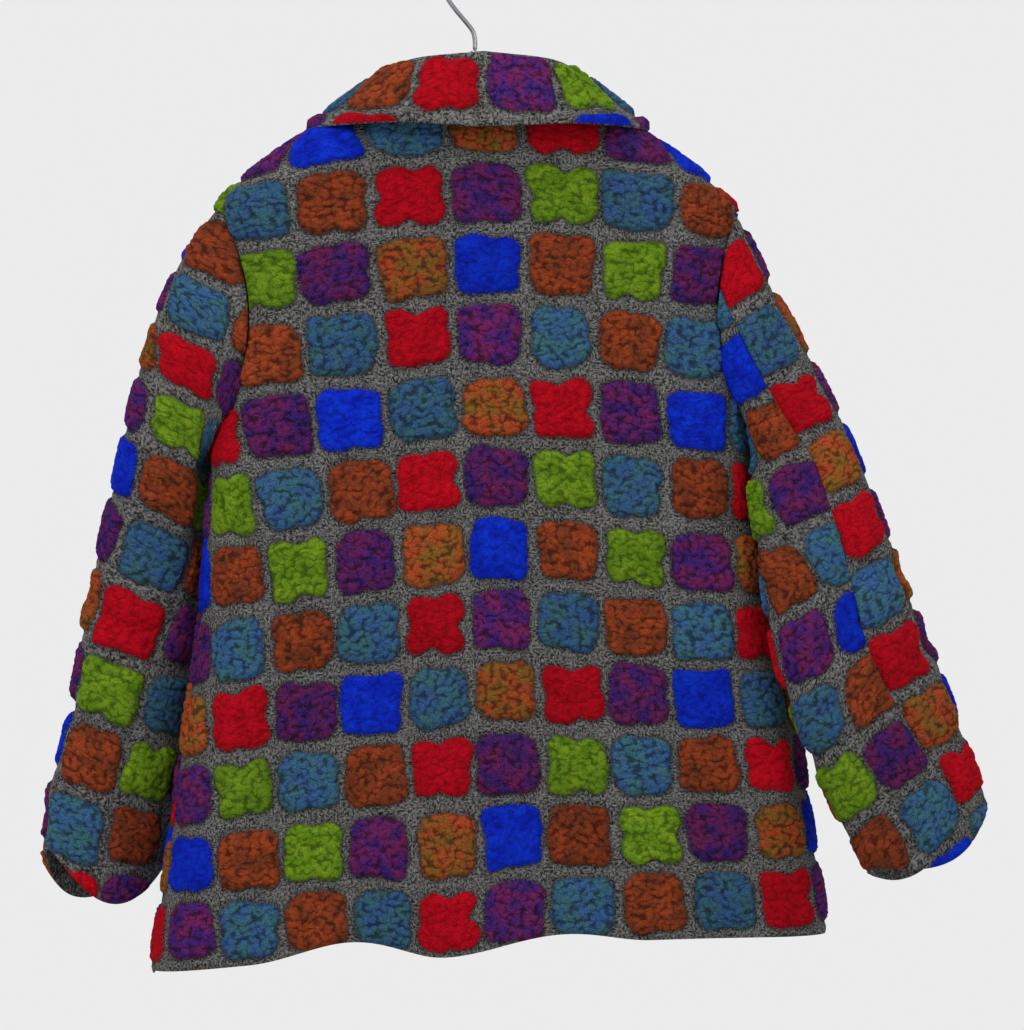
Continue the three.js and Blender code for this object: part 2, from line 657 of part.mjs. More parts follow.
function collarSheet() {
  const lines = [];
  for (let b = -5; b <= 4; b++) {
    const bent = Math.abs(b + 0.5) > 1 && Math.abs(b + 0.5) < 4;
    for (const k of bent ? [-FOOT, -TOP, 0, TOP, FOOT] : [-FOOT, -TOP, TOP, FOOT]) {
      lines.push([COLLAR_PITCH * (b + 0.5 + k), Math.abs(k) < FOOT]);
    }
  }
  lines.unshift([-310, false]);
  lines.push([310, false]);
  const rows = [[0, 0], [0.5, 0], [1, 0], [1.1, 0], [1.25, 1], [1.75, 1], [1.9, 0], [2, 0]];
  const points = rows.map(([t]) => lines.map(([u]) => collarPoint(u, t)));
  const normals = rows.map(([t]) => lines.map(([u]) => {
    if (t === 0) return neckAt(u).normal.negate();
    const du = collarPoint(u + 0.5, t).sub(collarPoint(u - 0.5, t));
    const dt = collarPoint(u, Math.min(2, t + 0.01)).sub(collarPoint(u, t - 0.01));
    return dt.cross(du).normalize();
  }));
  const block = (j, i) => (rows[j][1] && lines[i][1] ? RAISE : 0);
  return gridSolid(points, normals, -WALL, block);
}

// Hanger bar: an outline in x and z, extruded through its thickness.
function barGeometry() {
  const outline = [];
  for (let i = BAR_TOP.length - 1; i >= 0; i--) outline.push([-BAR_TOP[i][0] + 2, BAR_TOP[i][1]]);
  for (const [x, z] of BAR_TOP.slice(1)) outline.push([x + 2, z]);
  for (let i = BAR_TOP.length - 1; i >= 0; i--) {
    const [x, z] = BAR_TOP[i];
    outline.push([x * 0.965 + 2, z - BAR_DEPTH * (i === BAR_TOP.length - 1 ? 0.5 : 1)]);
  }
  for (const [x, z] of BAR_TOP.slice(1)) {
    outline.push([-x * 0.965 + 2, z - BAR_DEPTH * (x === BAR_TOP.at(-1)[0] ? 0.5 : 1)]);
  }
  const shape = new THREE.Shape(outline.map(([x, z]) => new THREE.Vector2(x, z)));
  const geometry = new THREE.ExtrudeGeometry(shape, {
    depth: BAR_THICK - 4, bevelThickness: 2, bevelSize: 1.2, bevelOffset: -1.2, bevelSegments: 2,
  });
  geometry.rotateX(Math.PI / 2);
  geometry.translate(0, BAR_THICK / 2 - 2, 0);
  return geometry;
}

function hookGeometry() {
  const points = [[0, -72.7], [0, -64], [-2, -56], [-9, -47], [-17, -37.5], [-22.6, -29]];
  for (let a = 176; a >= -40; a -= 18) {
    points.push([HOOK_R * Math.cos(a * rad), -HOOK_R + WIRE_R + HOOK_R * Math.sin(a * rad)]);
  }
  const path = new THREE.CatmullRomCurve3(points.map(([x, z]) => new THREE.Vector3(x, 0, z)));
  const shape = new THREE.Shape();
  shape.absarc(0, 0, WIRE_R, 0, 2 * Math.PI);
  return new THREE.ExtrudeGeometry(shape, { extrudePath: path, steps: 28, curveSegments: 4 });
}

const buttonProfile = [
  [0, 0], [12.6, 0], [BUTTON_R, 1.6], [BUTTON_R, 3.6], [11.6, 5], [9.6, 3.8], [0, 3.8],
].map(([x, y]) => new THREE.Vector2(x, y));

const wool = { color: 0x5f5c58, roughness: 0.95, metalness: 0 };
const root = new THREE.Group();
function addMesh(name, geometry, look) {
  const mesh = new THREE.Mesh(geometry, new THREE.MeshStandardMaterial(look));
  mesh.name = name;
  root.add(mesh);
  return mesh;
}

function addPanel(name, region, cloth) {
  addMesh(name, geometryOf(solidOf(region).intersect(solidOf(cloth))), wool);
}

const sideCuts = (c) => (c <= -4 || c >= 3 ? 3 : 1 + (c !== 0));
const rowCuts = (r) => (r <= -4 ? 2 : 1);
addPanel('back', backRegion(), blockCloth(onBack, [-6, 6, -6, 7], sideCuts, rowCuts));
addPanel('front_right', frontRegion(1), blockCloth(onFront(0), [-1, 6, -6, 7], sideCuts, rowCuts));
addPanel('front_left', frontRegion(-1), blockCloth(onFront(1), [-6, 1, -6, 7], sideCuts, rowCuts));
for (const [name, sleeve] of [['sleeve_right', SLEEVE_RIGHT], ['sleeve_left', SLEEVE_LEFT]]) {
  for (const upper of [true, false]) {
    const cells = [-1, upper ? 3 : 2, upper ? -8 : -7, 4];
    addPanel(`${name}_${upper ? 'upper' : 'under'}`, sleeveRegion(sleeve, upper),
      blockCloth(onSleeve(sleeve, upper), cells, () => 3, (r) => (r <= -3 ? 2 : 1)));
  }
}
addMesh('collar', geometryOf(solidOf(collarSheet())), wool);

BUTTON_Z.forEach((z, i) => {
  const button = addMesh(`button_${i + 1}`, new THREE.LatheGeometry(buttonProfile, 16),
    { color: 0x33302d, roughness: 0.45, metalness: 0 });
  const normal = bodyNormal(BUTTON_X, z, 1);
  button.position.copy(bodyPoint(BUTTON_X, z, 1)).addScaledVector(normal, RAISE + SEAM);
  button.quaternion.setFromUnitVectors(new THREE.Vector3(0, 1, 0), normal);
});

addMesh('hanger_bar', barGeometry(), { color: 0x8a6a45, roughness: 0.6, metalness: 0 });
const ferrule = addMesh('hanger_ferrule', new THREE.CylinderGeometry(4, 5, 20.6, 24),
  { color: 0xb8bcc0, roughness: 0.3, metalness: 1 });
ferrule.rotation.x = Math.PI / 2;
ferrule.position.z = -83.25;
addMesh('hanger_hook', hookGeometry(), { color: 0xb8bcc0, roughness: 0.3, metalness: 1 });

export default root;
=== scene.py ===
# %% Short coat of thick felted wool on a hanger
import json
import math

import bmesh
import bpy
import numpy as np
from mathutils import Matrix, Vector

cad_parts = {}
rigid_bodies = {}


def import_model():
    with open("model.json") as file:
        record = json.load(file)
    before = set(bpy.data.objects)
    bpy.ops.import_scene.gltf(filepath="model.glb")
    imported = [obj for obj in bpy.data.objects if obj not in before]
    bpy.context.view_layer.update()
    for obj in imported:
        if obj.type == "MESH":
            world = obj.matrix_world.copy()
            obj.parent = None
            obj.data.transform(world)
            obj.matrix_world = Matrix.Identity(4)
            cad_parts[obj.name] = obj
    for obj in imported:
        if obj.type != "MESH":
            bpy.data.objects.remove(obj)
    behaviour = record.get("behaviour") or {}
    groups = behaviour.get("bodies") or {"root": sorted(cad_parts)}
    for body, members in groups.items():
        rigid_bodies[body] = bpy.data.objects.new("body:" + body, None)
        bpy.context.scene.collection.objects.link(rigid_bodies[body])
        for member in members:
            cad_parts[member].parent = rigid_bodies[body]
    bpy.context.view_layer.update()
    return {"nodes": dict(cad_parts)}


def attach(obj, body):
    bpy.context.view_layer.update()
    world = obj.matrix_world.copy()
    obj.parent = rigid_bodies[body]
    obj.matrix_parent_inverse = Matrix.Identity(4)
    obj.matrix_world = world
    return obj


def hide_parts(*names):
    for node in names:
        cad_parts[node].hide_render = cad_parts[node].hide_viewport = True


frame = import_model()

# %% [markdown]
# The coat is cut from one heavy cloth: a grey melange ground with raised, curled squares
# in seven colours. Cloth can be simulated, but the way this coat hangs is known, so each
# panel is rebuilt as a fine shell on the same surface as its solid. Lengths are
# millimetres, as on a cutting table, until a mesh is made.

# %% Sizes of the cloth and of the coat
MM = 0.001
WALL = 3.2  # ground cloth
SEAM = 0.3  # space between two sewn panels
STEP = 2.3  # spacing of the fine grid
COARSE = 3  # outer steps to one inner step
REPEAT = 58  # mean size of one block with its share of ground
ROW, SLEEVE_ROW = 59, 58
ROW_ZERO, HEM_ROW = -428, 6.5  # height of block row 0, and the row at the hem
COLUMN_ZERO, COLUMN_LEAN = 14, 2.1  # place of block column 0, and its step a row
FRONT_PITCH, FRONT_DROP, FRONT_RISE = 57.5, 5.5, 0.0576
NO_BLOCK = -20  # distance from a block's outline where there is none
CHEST = -300
HEM_MEAN, HEM_LEFT, HEM_RIGHT = -816, -838, -806
ARM_MID, ARM_RISE, ARM_INSET = -300, 95, 24
UNDERARM, SHOULDER_TIP = ARM_MID - ARM_RISE, ARM_MID + ARM_RISE
NECK_HALF, NECK_BACK, NECK_SIDE, NECK_FRONT = 85, -128, -115, -187
OVERLAP_RIGHT, OVERLAP_LEFT, UNDERLAP = -25, 22, 9
BUTTON_X, BUTTON_R = -2, 14
BUTTON_Z = [-226, -350, -474, -598]
BUTTON_LIFT = 3.8
print("back", NECK_BACK - HEM_MEAN, "mm long, underarm", UNDERARM - HEM_MEAN, "mm above the hem")

# %% [markdown]
# ## The coat in tables
# A pattern maker draws a coat from a few measures at a few heights. These tables are such
# measures. Each row is one section, fold, ring or crease, and its heading names the columns.

# %% Tables of the body, sleeves and collar
# Body loop at a height: half width, middle, depth, corner length in x
BODY = [
    [-900, 294, 15, 63.5, 60], [-860, 288, 15, 63, 60], [-808, 280, 15, 62, 60],
    [-710, 265, 15, 62, 60], [-634, 255, 14, 61, 60], [-571, 242, 11, 60, 60],
    [-509, 234, 9, 59, 60], [-447, 228, 7, 58, 60], [-395, 224, 6, 57, 60],
    [-300, 219, 4, 55, 60], [-240, 218, 3, 51, 61], [-205, 216, 2, 48, 64],
    [-181, 195, 2, 46, 68], [-163, 172, 2, 45, 71], [-143, 143, 2, 45, 72],
    [-128, 113, 2, 45.5, 72], [-115, 85, 2, 46, 70], [-100, 60, 2, 46, 46],
    [-70, 38, 2, 46, 30],
]

# Soft upright folds: middle x, half width, outward depth, height of start and of full depth
FOLDS_BACK = [[-29, 82, 7, -560, -800], [118, 88, 4, -520, -820], [-165, 80, 4, -600, -830]]
FOLDS_FRONT = [[-112, 90, 6, -430, -790], [128, 95, 6, -460, -800]]

# Where the hem is drawn up between folds: middle x, half width, height
HEM_WAVES = [[-112, 80, 11], [72, 70, 7]]

# Block columns on the back: row, pitch left and right, droop per column left and right
BACK_ROWS = [
    [-7, 64, 63, 6.6, 4.2], [-4, 64, 63, 6.6, 4.2], [-2, 62, 56.5, 6.6, 4.2],
    [1, 55, 55.6, 6.6, 4.2], [3, 54.7, 55, 6.4, 1.8], [6, 54, 58.5, 4.2, -2],
    [7.5, 54, 60, 3.7, -3],
]

# Sleeve rings: height and x, y of the middle, half width, depth back and front, twist, tilt.
# drift turns the cloth round the arm: radians, then where on the cap it is full, and where
# below the arm it starts and stops to fade, all as shares of that length. cap_rows moves the
# blocks along the cap: how many rows, and the two lengths above the arm between which it grows.
SLEEVE_RIGHT = dict(
    side=1, twist_way=1, cuff_bow=28, seam_start=0.2, cut_under=0.42,
    drift=(0.42, 0.8, 0.45, 0.97),
    rings=[
        [-430, 270, -32, 52, 44, 34, 20, 14], [-488, 285, -43, 59, 44, 34, 24, 17],
        [-550, 300, -50, 67, 42, 32, 25, 19], [-613, 323, -54, 71, 39, 32, 25, 22],
        [-670, 347, -51, 69, 37, 32, 25, 24], [-723, 372, -46, 64, 35, 32, 25, 30],
    ],
    cap_top=(0.4, 0, -0.92), cap_bottom=(0.1, -0.3, -0.95), cap_back=-0.3, cap_front=0,
    row_start=6, upper=(-15, -7), under=(0, 7), cap_rows=(0.28, -90, -200),
)
SLEEVE_LEFT = dict(
    side=-1, twist_way=-1, cuff_bow=40, seam_start=0, cut_under=0,
    drift=(0.66, 0.85, 0, 0.7),
    rings=[
        [-430, -248, 30, 50, 38, 42, 20, 12], [-510, -262, 44, 54, 34, 42, 24, 12],
        [-571, -271, 46, 58, 33, 40, 25, 10], [-634, -280, 48, 59, 32, 38, 25, 10],
        [-700, -298, 48, 59, 32, 36, 25, 8], [-742, -305, 46, 56, 32, 35, 25, 6],
    ],
    cap_top=(-0.65, 0, -0.75), cap_bottom=(-0.2, 0.1, -0.95), cap_back=-0.1, cap_front=0.25,
    row_start=8, upper=(0, -13), under=(3, 3), cap_rows=(-0.42, 10, -230),
)
BACK_TURN, FRONT_TURN = math.radians(72), math.radians(262)
SLEEVE_CLEAR, ARMHOLE_CLEAR = 12, 0.35  # space beside the body, and its share at the armhole

# Collar: length from the centre back, fold x, y, z, outer edge x, y, z
COLLAR = [
    [0, 0, -56, -77, 0, -76, -140], [70, 57, -50, -83, 77, -76, -136],
    [150, 88, 0, -99, 144, 0, -136], [230, 76, 58, -129, 126, 74, -186],
    [310, 13, 52, -176, 70, 76, -262],
]
COLLAR_X, COLLAR_PITCH = 3, 61

# Creases pressed in by wear, each a line in block columns and rows: start, end, width, depth
CREASES = {
    "back": [
        (4.1, -0.2, 2.4, 1.6, 17, 3.0), (-4.3, -0.4, -3.0, 1.9, 18, 3.2),
        (-3.5, -4.2, -2.9, -1.4, 15, 2.4), (3.2, -4.3, 3.0, -1.3, 16, 2.6),
        (-3.3, 3.2, -3.7, 6.6, 22, 4.0), (0.9, 3.9, 1.3, 6.6, 20, 2.8),
        (-0.6, -4.8, -2.0, -3.9, 13, 1.8), (3.9, 2.6, 4.2, 5.2, 16, -2.6),
        (1.7, -1.2, 0.6, 1.4, 24, 1.4), (-1.9, 0.6, -1.5, 3.6, 26, -1.6),
    ],
    "front_right": [(4.0, -0.3, 2.2, 1.4, 17, 2.8), (1.6, 3.4, 1.9, 6.6, 22, 3.4)],
    "front_left": [(-4.1, -0.3, -2.5, 1.6, 18, 2.8), (-2.0, 3.0, -2.2, 6.6, 20, 3.6)],
    "sleeve_right_upper": [
        (-0.4, -1.4, 1.7, -0.8, 11, 2.6), (-0.5, 0.4, 1.3, -0.1, 10, 3.0),
        (0.3, 1.5, 2.4, 1.1, 12, 2.2), (-0.3, -4.6, 0.8, -5.6, 13, 2.2),
    ],
    "sleeve_right_under": [(-0.3, -1.0, 1.8, -0.5, 11, 2.8), (0.2, 0.7, 2.1, 0.2, 11, 2.4)],
    "sleeve_left_upper": [
        (-0.3, -0.8, 1.5, -1.3, 11, 2.6), (-0.4, 0.7, 1.9, 0.3, 10, 2.8),
        (0.1, 2.2, 1.6, 1.8, 12, 2.0), (0.2, -4.4, 1.1, -5.3, 14, 2.2),
    ],
    "sleeve_left_under": [(-0.2, -0.5, 1.7, -1.0, 11, 2.6), (0.3, 1.2, 2.0, 0.8, 12, 2.4)],
    "collar": [(-2.6, -0.5, -2.9, 0.6, 12, 1.2), (1.6, -0.5, 1.9, 0.6, 14, -1.2)],
}
print(sum(len(lines) for lines in CREASES.values()), "creases on", len(CREASES), "panels")

# %% [markdown]
# ## Reading a shape from a short table
# A drafting curve joins the measures on paper. Here `read` runs a smooth curve through the
# rows of a table without overshooting, so that a handful of sections gives a whole coat.

# %% Curves and easing
def smooth(a, b, v):
    t = np.clip((v - a) / (b - a), 0, 1)
    return t * t * (3 - 2 * t)


def mix(a, b, t):
    return a + (b - a) * t


def ease(v, limit, more):
    over = np.minimum(0, (limit - v) / more)
    return np.where(v <= limit, v, limit + more * (1 - np.exp(over)))


def unit(v):
    return v / np.maximum(np.linalg.norm(v, axis=-1, keepdims=True), 1e-9)


def hermite(start, end, way_out, way_in, t):
    """A curve from start to end that leaves along way_out and arrives along way_in."""
    return start * (2 * t**3 - 3 * t**2 + 1) + end * (3 * t**2 - 2 * t**3) \
        + way_out * (t**3 - 2 * t**2 + t) + way_in * (t**3 - t**2)


def read(rows, at):
    """The other columns of a table at any value of its first column."""
    rows, at = np.asarray(rows, float), np.asarray(at, float)
    key = rows[:, 0]
    step = np.diff(rows, axis=0) / np.diff(key)[:, None]
    before, after = step[:-1], step[1:]
    same = before * after > 0
    inner = np.where(same, 2 * before * after / np.where(same, before + after, 1), 0)
    slope = np.vstack([step[:1], inner, step[-1:]])
    i = np.clip(np.searchsorted(key, at) - 1, 0, len(key) - 2)
    inside = np.clip(at, key[0], key[-1])
    span = (key[i + 1] - key[i])[..., None]
    t = (inside - key[i])[..., None] / span
    value = hermite(rows[i], rows[i + 1], span * slope[i], span * slope[i + 1], t)
    value += (at - inside)[..., None] * np.where(t > 0.5, slope[i + 1], slope[i])
    return np.moveaxis(value, -1, 0)


print("half width at the hem:", round(float(read(BODY, HEM_MEAN)[1]), 1), "mm")

# %% [markdown]
# ## The surface of the body
# An empty coat on a bar hangs as a flattened loop that widens to the hem. A mesh of it
# could be drawn by hand, but a formula keeps lengths along the cloth true. A point is found
# by its length round the loop, `s`, and its height, `z`; `face` is -1 on the back and 1 in
# front.

# %% Body surface
def loop_at(z):
    _, half, mid, deep, ex = read(BODY, z)
    quarter = (np.pi / 4) * (3 * (ex + deep) - np.sqrt((3 * ex + deep) * (ex + 3 * deep)))
    return mid, deep, ex, half - ex, quarter


def fold_depth(folds, x, z):
    total = 0
    for x0, wide, deep, start, full in folds:
        off = np.clip(np.abs(x - x0) / wide, 0, 1)
        total = total + deep * np.cos(off * np.pi / 2) ** 2 * smooth(start, full, z)
    return total


def body_point(s, z, face, lap=0):
    s, z = np.broadcast_arrays(np.asarray(s, float), np.asarray(z, float))
    mid, deep, ex, flat, quarter = loop_at(z)
    side = np.where(s < mid, -1, 1)
    beyond = ease(np.maximum(0, np.abs(s - mid) - flat), quarter + 12, 16)
    angle = (np.pi / 2) * (1 - beyond / quarter)
    x = np.where(beyond > 0, mid + side * (flat + ex * np.cos(angle)), s)
    back, front = fold_depth(FOLDS_BACK, x, z), fold_depth(FOLDS_FRONT, x, z)
    y = deep * np.sin(angle) + np.where(np.asarray(face) < 0, back, front)
    y = y - lap * UNDERLAP * smooth(-85, -36, x)
    return np.stack([x, face * y, z], -1)


def body_normal(s, z, face, lap=0):
    ds = body_point(s + 0.5, z, face, lap) - body_point(s - 0.5, z, face, lap)
    dz = body_point(s, z + 0.5, face, lap) - body_point(s, z - 0.5, face, lap)
    return unit(np.cross(ds, dz) * -np.asarray(face)[..., None])


def s_of_x(x, z):
    mid, _, ex, flat, quarter = loop_at(z)
    beyond = np.abs(x - mid) - flat
    angle = np.arccos(np.clip(beyond / ex, 0, 1))
    round_corner = mid + np.where(x < mid, -1, 1) * (flat + quarter * (1 - angle / (np.pi / 2)))
    return np.where(beyond <= 0, x, round_corner)


# %% [markdown]
# ## Armhole and hem
# The armhole is an oval cut into the side of the loop. The hem follows the block rows, as
# the coat is cut along them, and is drawn up where the cloth folds.

# %% Armhole edge and hem
def edge_angle(z):
    cos = np.clip((z - ARM_MID) / ARM_RISE, -1, 1)
    return np.arccos(1 - ARM_INSET * (1 - cos * cos) / loop_at(z)[2])


def edge_s(z, side):
    mid, _, _, flat, quarter = loop_at(z)
    return mid + side * (flat + quarter * (1 - edge_angle(z) / (np.pi / 2)))


def edge_x(z, side):
    mid, _, ex, flat, _ = loop_at(z)
    return mid + side * (flat + ex * np.cos(edge_angle(z)))


def back_cloth(c, r):
    """Place on the back of a point in block columns and rows."""
    _, left, right, drop_left, drop_right = read(BACK_ROWS, r)
    s = COLUMN_ZERO + COLUMN_LEAN * r + c * np.where(c < 0, left, right)
    bend = np.sqrt(c * c + 0.3) - 0.55
    dip = 8 * np.exp(-(((c + 1) / 0.8) ** 2)) * smooth(4.3, 5.6, r)
    return s, ROW_ZERO - ROW * r - bend * np.where(c < 0, drop_left, drop_right) - dip


def front_cloth(c, r):
    s = COLUMN_ZERO + FRONT_PITCH * c
    rise = FRONT_RISE * s * np.clip((r + 4) / 10.5, 0, 1)
    return s, ROW_ZERO - ROW * r - FRONT_DROP + rise


def hem_height(s, face):
    row = np.full(np.shape(s), HEM_ROW)
    drawn = sum(up * np.cos(np.clip((s - x0) / wide, -1, 1) * np.pi / 2) ** 2
                for x0, wide, up in HEM_WAVES)
    if face > 0:
        return front_cloth((s - COLUMN_ZERO) / FRONT_PITCH, row)[1] + drawn
    _, left, right, _, _ = read(BACK_ROWS, row)
    c = s - COLUMN_ZERO - COLUMN_LEAN * HEM_ROW
    return back_cloth(c / np.where(c < 0, left, right), row)[1] + drawn


def hem_share(z):
    """How much of the hem's unevenness a height takes on: all at the hem, none above -600."""
    return np.clip((-600 - z) / (-600 - HEM_MEAN), 0, 1)


print("hem at the centre back:", round(float(hem_height(np.array(0.0), -1)), 1), "mm")

# %% [markdown]
# ## The surface of a sleeve
# A set-in sleeve hangs as a soft, slightly twisted tube. It runs through tilted rings, and
# above the first ring its cap climbs to the armhole along one curve for each direction
# round the arm, so that cap and armhole share their edge.

# %% Sleeve surface
for name, sleeve in (("right", SLEEVE_RIGHT), ("left", SLEEVE_LEFT)):
    rings = np.array(sleeve["rings"], float)
    middles = rings[:, [1, 2, 0]]
    run = np.concatenate([[0], np.cumsum(np.linalg.norm(np.diff(middles, axis=0), axis=1))])
    sleeve["table"] = np.column_stack([run, middles, rings[:, 3:]])
    sleeve["cuff"] = run[-1]
    print(name, "sleeve:", round(float(run[-1])), "mm from the arm's pit to the cuff")


def ring_point(sleeve, turn, v):
    _, x, y, z, wide, back, front, twist, tilt = read(sleeve["table"], v + 0 * turn)
    tilt, twist = np.radians(tilt), np.radians(twist)
    outer = np.stack([sleeve["side"] * np.cos(tilt), 0 * tilt, np.sin(tilt)], -1)
    sin = (np.sin(twist) * sleeve["twist_way"])[..., None]
    cos = np.cos(twist)[..., None]
    way = np.array([0, 1, 0])
    along, across = outer * cos + way * sin, outer * sin - way * cos
    deep = np.where(np.sin(turn) > 0, back, front)
    middle = np.stack([x, y, z], -1)
    return middle + along * (wide * np.cos(turn))[..., None] \
        + across * (deep * np.sin(turn))[..., None]


def armhole_point(sleeve, turn):
    side, face = sleeve["side"], np.where(np.sin(turn) >= 0, -1, 1)
    z = ARM_MID + ARM_RISE * np.cos(turn)
    s = edge_s(z, side) + side * (SEAM / 2) * np.abs(np.sin(turn))
    return body_point(s, z - SEAM * np.cos(turn), face)


def cap_direction(sleeve, turn):
    up, sin = ((1 + np.cos(turn)) / 2)[..., None], np.sin(turn)
    d = up * np.array(sleeve["cap_top"]) + (1 - up) * np.array(sleeve["cap_bottom"])
    d[..., 1] += np.where(sin > 0, sleeve["cap_back"] * sin, -sleeve["cap_front"] * sin)
    return unit(d)


def cap_length(sleeve, turn):
    start, end = armhole_point(sleeve, turn), ring_point(sleeve, turn, 0)
    return np.linalg.norm(start - end, axis=-1) * 1.04


# %% [markdown]
# ## Keeping the sleeve off the body
# A hanging sleeve rests against the side of its coat. Two cloths that touch would cut into
# each other here, so a point of the sleeve is pushed outward until it is clear. Just below
# the armhole, where the two are sewn together, it may lie closer.

# %% Sleeve beside the body
def keep_clear(p, clear, weight):
    """Pushes points softly outward until they are clear of the body loop."""
    mid, deep, ex, flat, _ = loop_at(p[..., 2])
    side = np.where(p[..., 0] < mid, -1, 1)
    dx = np.maximum(0, np.abs(p[..., 0] - mid) - flat)
    rho = np.hypot(dx / ex, p[..., 1] / deep)
    gx, gy = dx / (ex * ex), p[..., 1] / (deep * deep)
    g = np.maximum(np.hypot(gx, gy), 1e-9)
    short = clear - (rho - 1) * rho / g
    push = weight * (short + np.sqrt(short * short + 40)) / 2
    return p + np.stack([side * gx * push / g, gy * push / g, 0 * push], -1)


def sleeve_clear(below):
    """Room between sleeve and body, less just below the armhole."""
    return SLEEVE_CLEAR * mix(ARMHOLE_CLEAR, 1, smooth(20, 90, below))


def sleeve_point(sleeve, turn, v):
    turn, v = np.broadcast_arrays(np.asarray(turn, float), np.asarray(v, float))
    length = cap_length(sleeve, turn)
    low = np.maximum(v, 0)
    lower = keep_clear(ring_point(sleeve, turn, low), sleeve_clear(length + low), 1)
    start, end = armhole_point(sleeve, turn), ring_point(sleeve, turn, 0)
    way = unit(ring_point(sleeve, turn, 1) - end)
    t = np.clip(1 + v / length, 0, 1)[..., None]
    reach = length[..., None]
    p = hermite(start, end, reach * cap_direction(sleeve, turn), reach * way, t)
    below = length * t[..., 0]
    run = mix(45, 15, smooth(0, 0.9, -np.cos(turn)))
    clear = sleeve_clear(below) * smooth(run - 35, run, below)
    return np.where((v >= 0)[..., None], lower, keep_clear(p, clear, smooth(0, run, below)))


def sleeve_normal(sleeve, turn, v):
    d_turn = sleeve_point(sleeve, turn + 0.01, v) - sleeve_point(sleeve, turn - 0.01, v)
    dv = sleeve_point(sleeve, turn, v + 0.5) - sleeve_point(sleeve, turn, v - 0.5)
    return unit(np.cross(d_turn, dv) * sleeve["side"])


def armhole_normal(sleeve, turn):
    side, face = sleeve["side"], np.where(np.sin(turn) >= 0, -1, 1)
    z = ARM_MID + ARM_RISE * np.cos(turn)
    body = body_normal(edge_s(z, side) - side, z, face)
    return unit(body + sleeve_normal(sleeve, turn, 1 - cap_length(sleeve, turn)))


def turn_bend(sleeve, v):
    """Mean radius of a ring, and how far its oval form moves lengths round it."""
    _, _, _, _, wide, back, _, _, _ = read(sleeve["table"], np.maximum(v, 0))
    squares = wide * wide + back * back
    return np.sqrt(squares / 2), (wide * wide - back * back) / (4 * squares)


print("sleeve and body:", SLEEVE_CLEAR, "mm apart, and",
      round(float(sleeve_clear(0)), 1), "mm at the armhole")

# %% [markdown]
# ## The surface of the collar
# A turn-down collar is one sheet that climbs the stand, turns over the fold and comes down
# as the fall. Two curves that share their direction at the fold make it, one for each side
# of the fold, so that it has no kink there.

# %% Collar surface
ROLL_BACK, ROLL_FRONT = 24, 7  # how roundly the collar turns over at its back and in front


def neck_at(u):
    side, far = np.where(u < 0, -1, 1), np.abs(u)
    back_share = np.sin((np.pi / 2) * np.minimum(far / 150, 1))
    front_share = mix(10 / NECK_HALF, 1, np.cos((np.pi / 2) * np.clip((far - 150) / 160, 0, 1)))
    share = np.where(far < 150, back_share, front_share)
    face = np.where(far < 150, -1, 1)
    z = np.where(far < 150, mix(NECK_BACK, NECK_SIDE, share * share),
                 mix(NECK_FRONT, NECK_SIDE, share**2.2))
    s = s_of_x(2 + side * NECK_HALF * share, z)
    return body_point(s, z, face), body_normal(s, z, face)


def collar_point(u, t):
    """u runs along the collar from its middle, t from 0 at the neck over 1 at the fold to 2."""
    u, t = np.broadcast_arrays(np.asarray(u, float), np.asarray(t, float))
    side = np.where(u < 0, -1, 1)
    _, fx, fy, fz, ex, ey, ez = read(COLLAR, np.abs(u))
    point, normal = neck_at(u)
    start = point - normal * WALL
    inward = unit(-start * np.array([1, 1, 0]))
    start = start + inward * 0.15 + np.array([0, 0, 1.4])
    fold = np.stack([COLLAR_X + side * fx, fy, fz], -1)
    edge = np.stack([COLLAR_X + side * ex, ey, ez], -1)
    out = unit((edge - start) * np.array([1, 1, 0]))
    turn = np.minimum(ROLL_BACK, np.linalg.norm(fold - start, axis=-1) * 0.6)[..., None]
    roll = mix(ROLL_BACK, ROLL_FRONT, smooth(50, 140, np.abs(u)))[..., None]
    t = t[..., None]
    stand = hermite(start, fold, fold - start, out * turn, np.clip(t, 0, 1))
    fall = hermite(fold, edge, out * roll, edge - fold, np.clip(t - 1, 0, 1))
    return np.where(t < 1, stand, fall)


print("collar", 2 * COLLAR[-1][0], "mm long round the neck")

# %% [markdown]
# ## Fine grids on the body
# A cut panel ends at its seams, so every panel gets a grid whose first and last lines are
# its cut edges. Trimming a larger grid would leave ragged edges. The body's rows are closer
# where the armhole turns level, so that it stays round.

# %% Grids of back and fronts
def thirds(length):
    return COARSE * max(2, round(length / STEP / COARSE))


def body_rows():
    below = np.linspace(HEM_MEAN, UNDERARM, thirds(UNDERARM - HEM_MEAN) + 1)
    part = np.linspace(0, 1, thirds(240) + 1)
    arc = mix(ARM_MID - ARM_RISE * np.cos(np.pi * part), mix(UNDERARM, SHOULDER_TIP, part), 0.5)
    above = np.linspace(SHOULDER_TIP, NECK_SIDE, thirds(130) + 1)
    return np.concatenate([below, arc[1:], above[1:]])


def arm_turns(base, face):
    turn = np.arccos(np.clip((base - ARM_MID) / ARM_RISE, -1, 1))
    return turn if face < 0 else -turn


def hem_edge(side):
    return np.where(side < 0, HEM_LEFT, HEM_RIGHT)


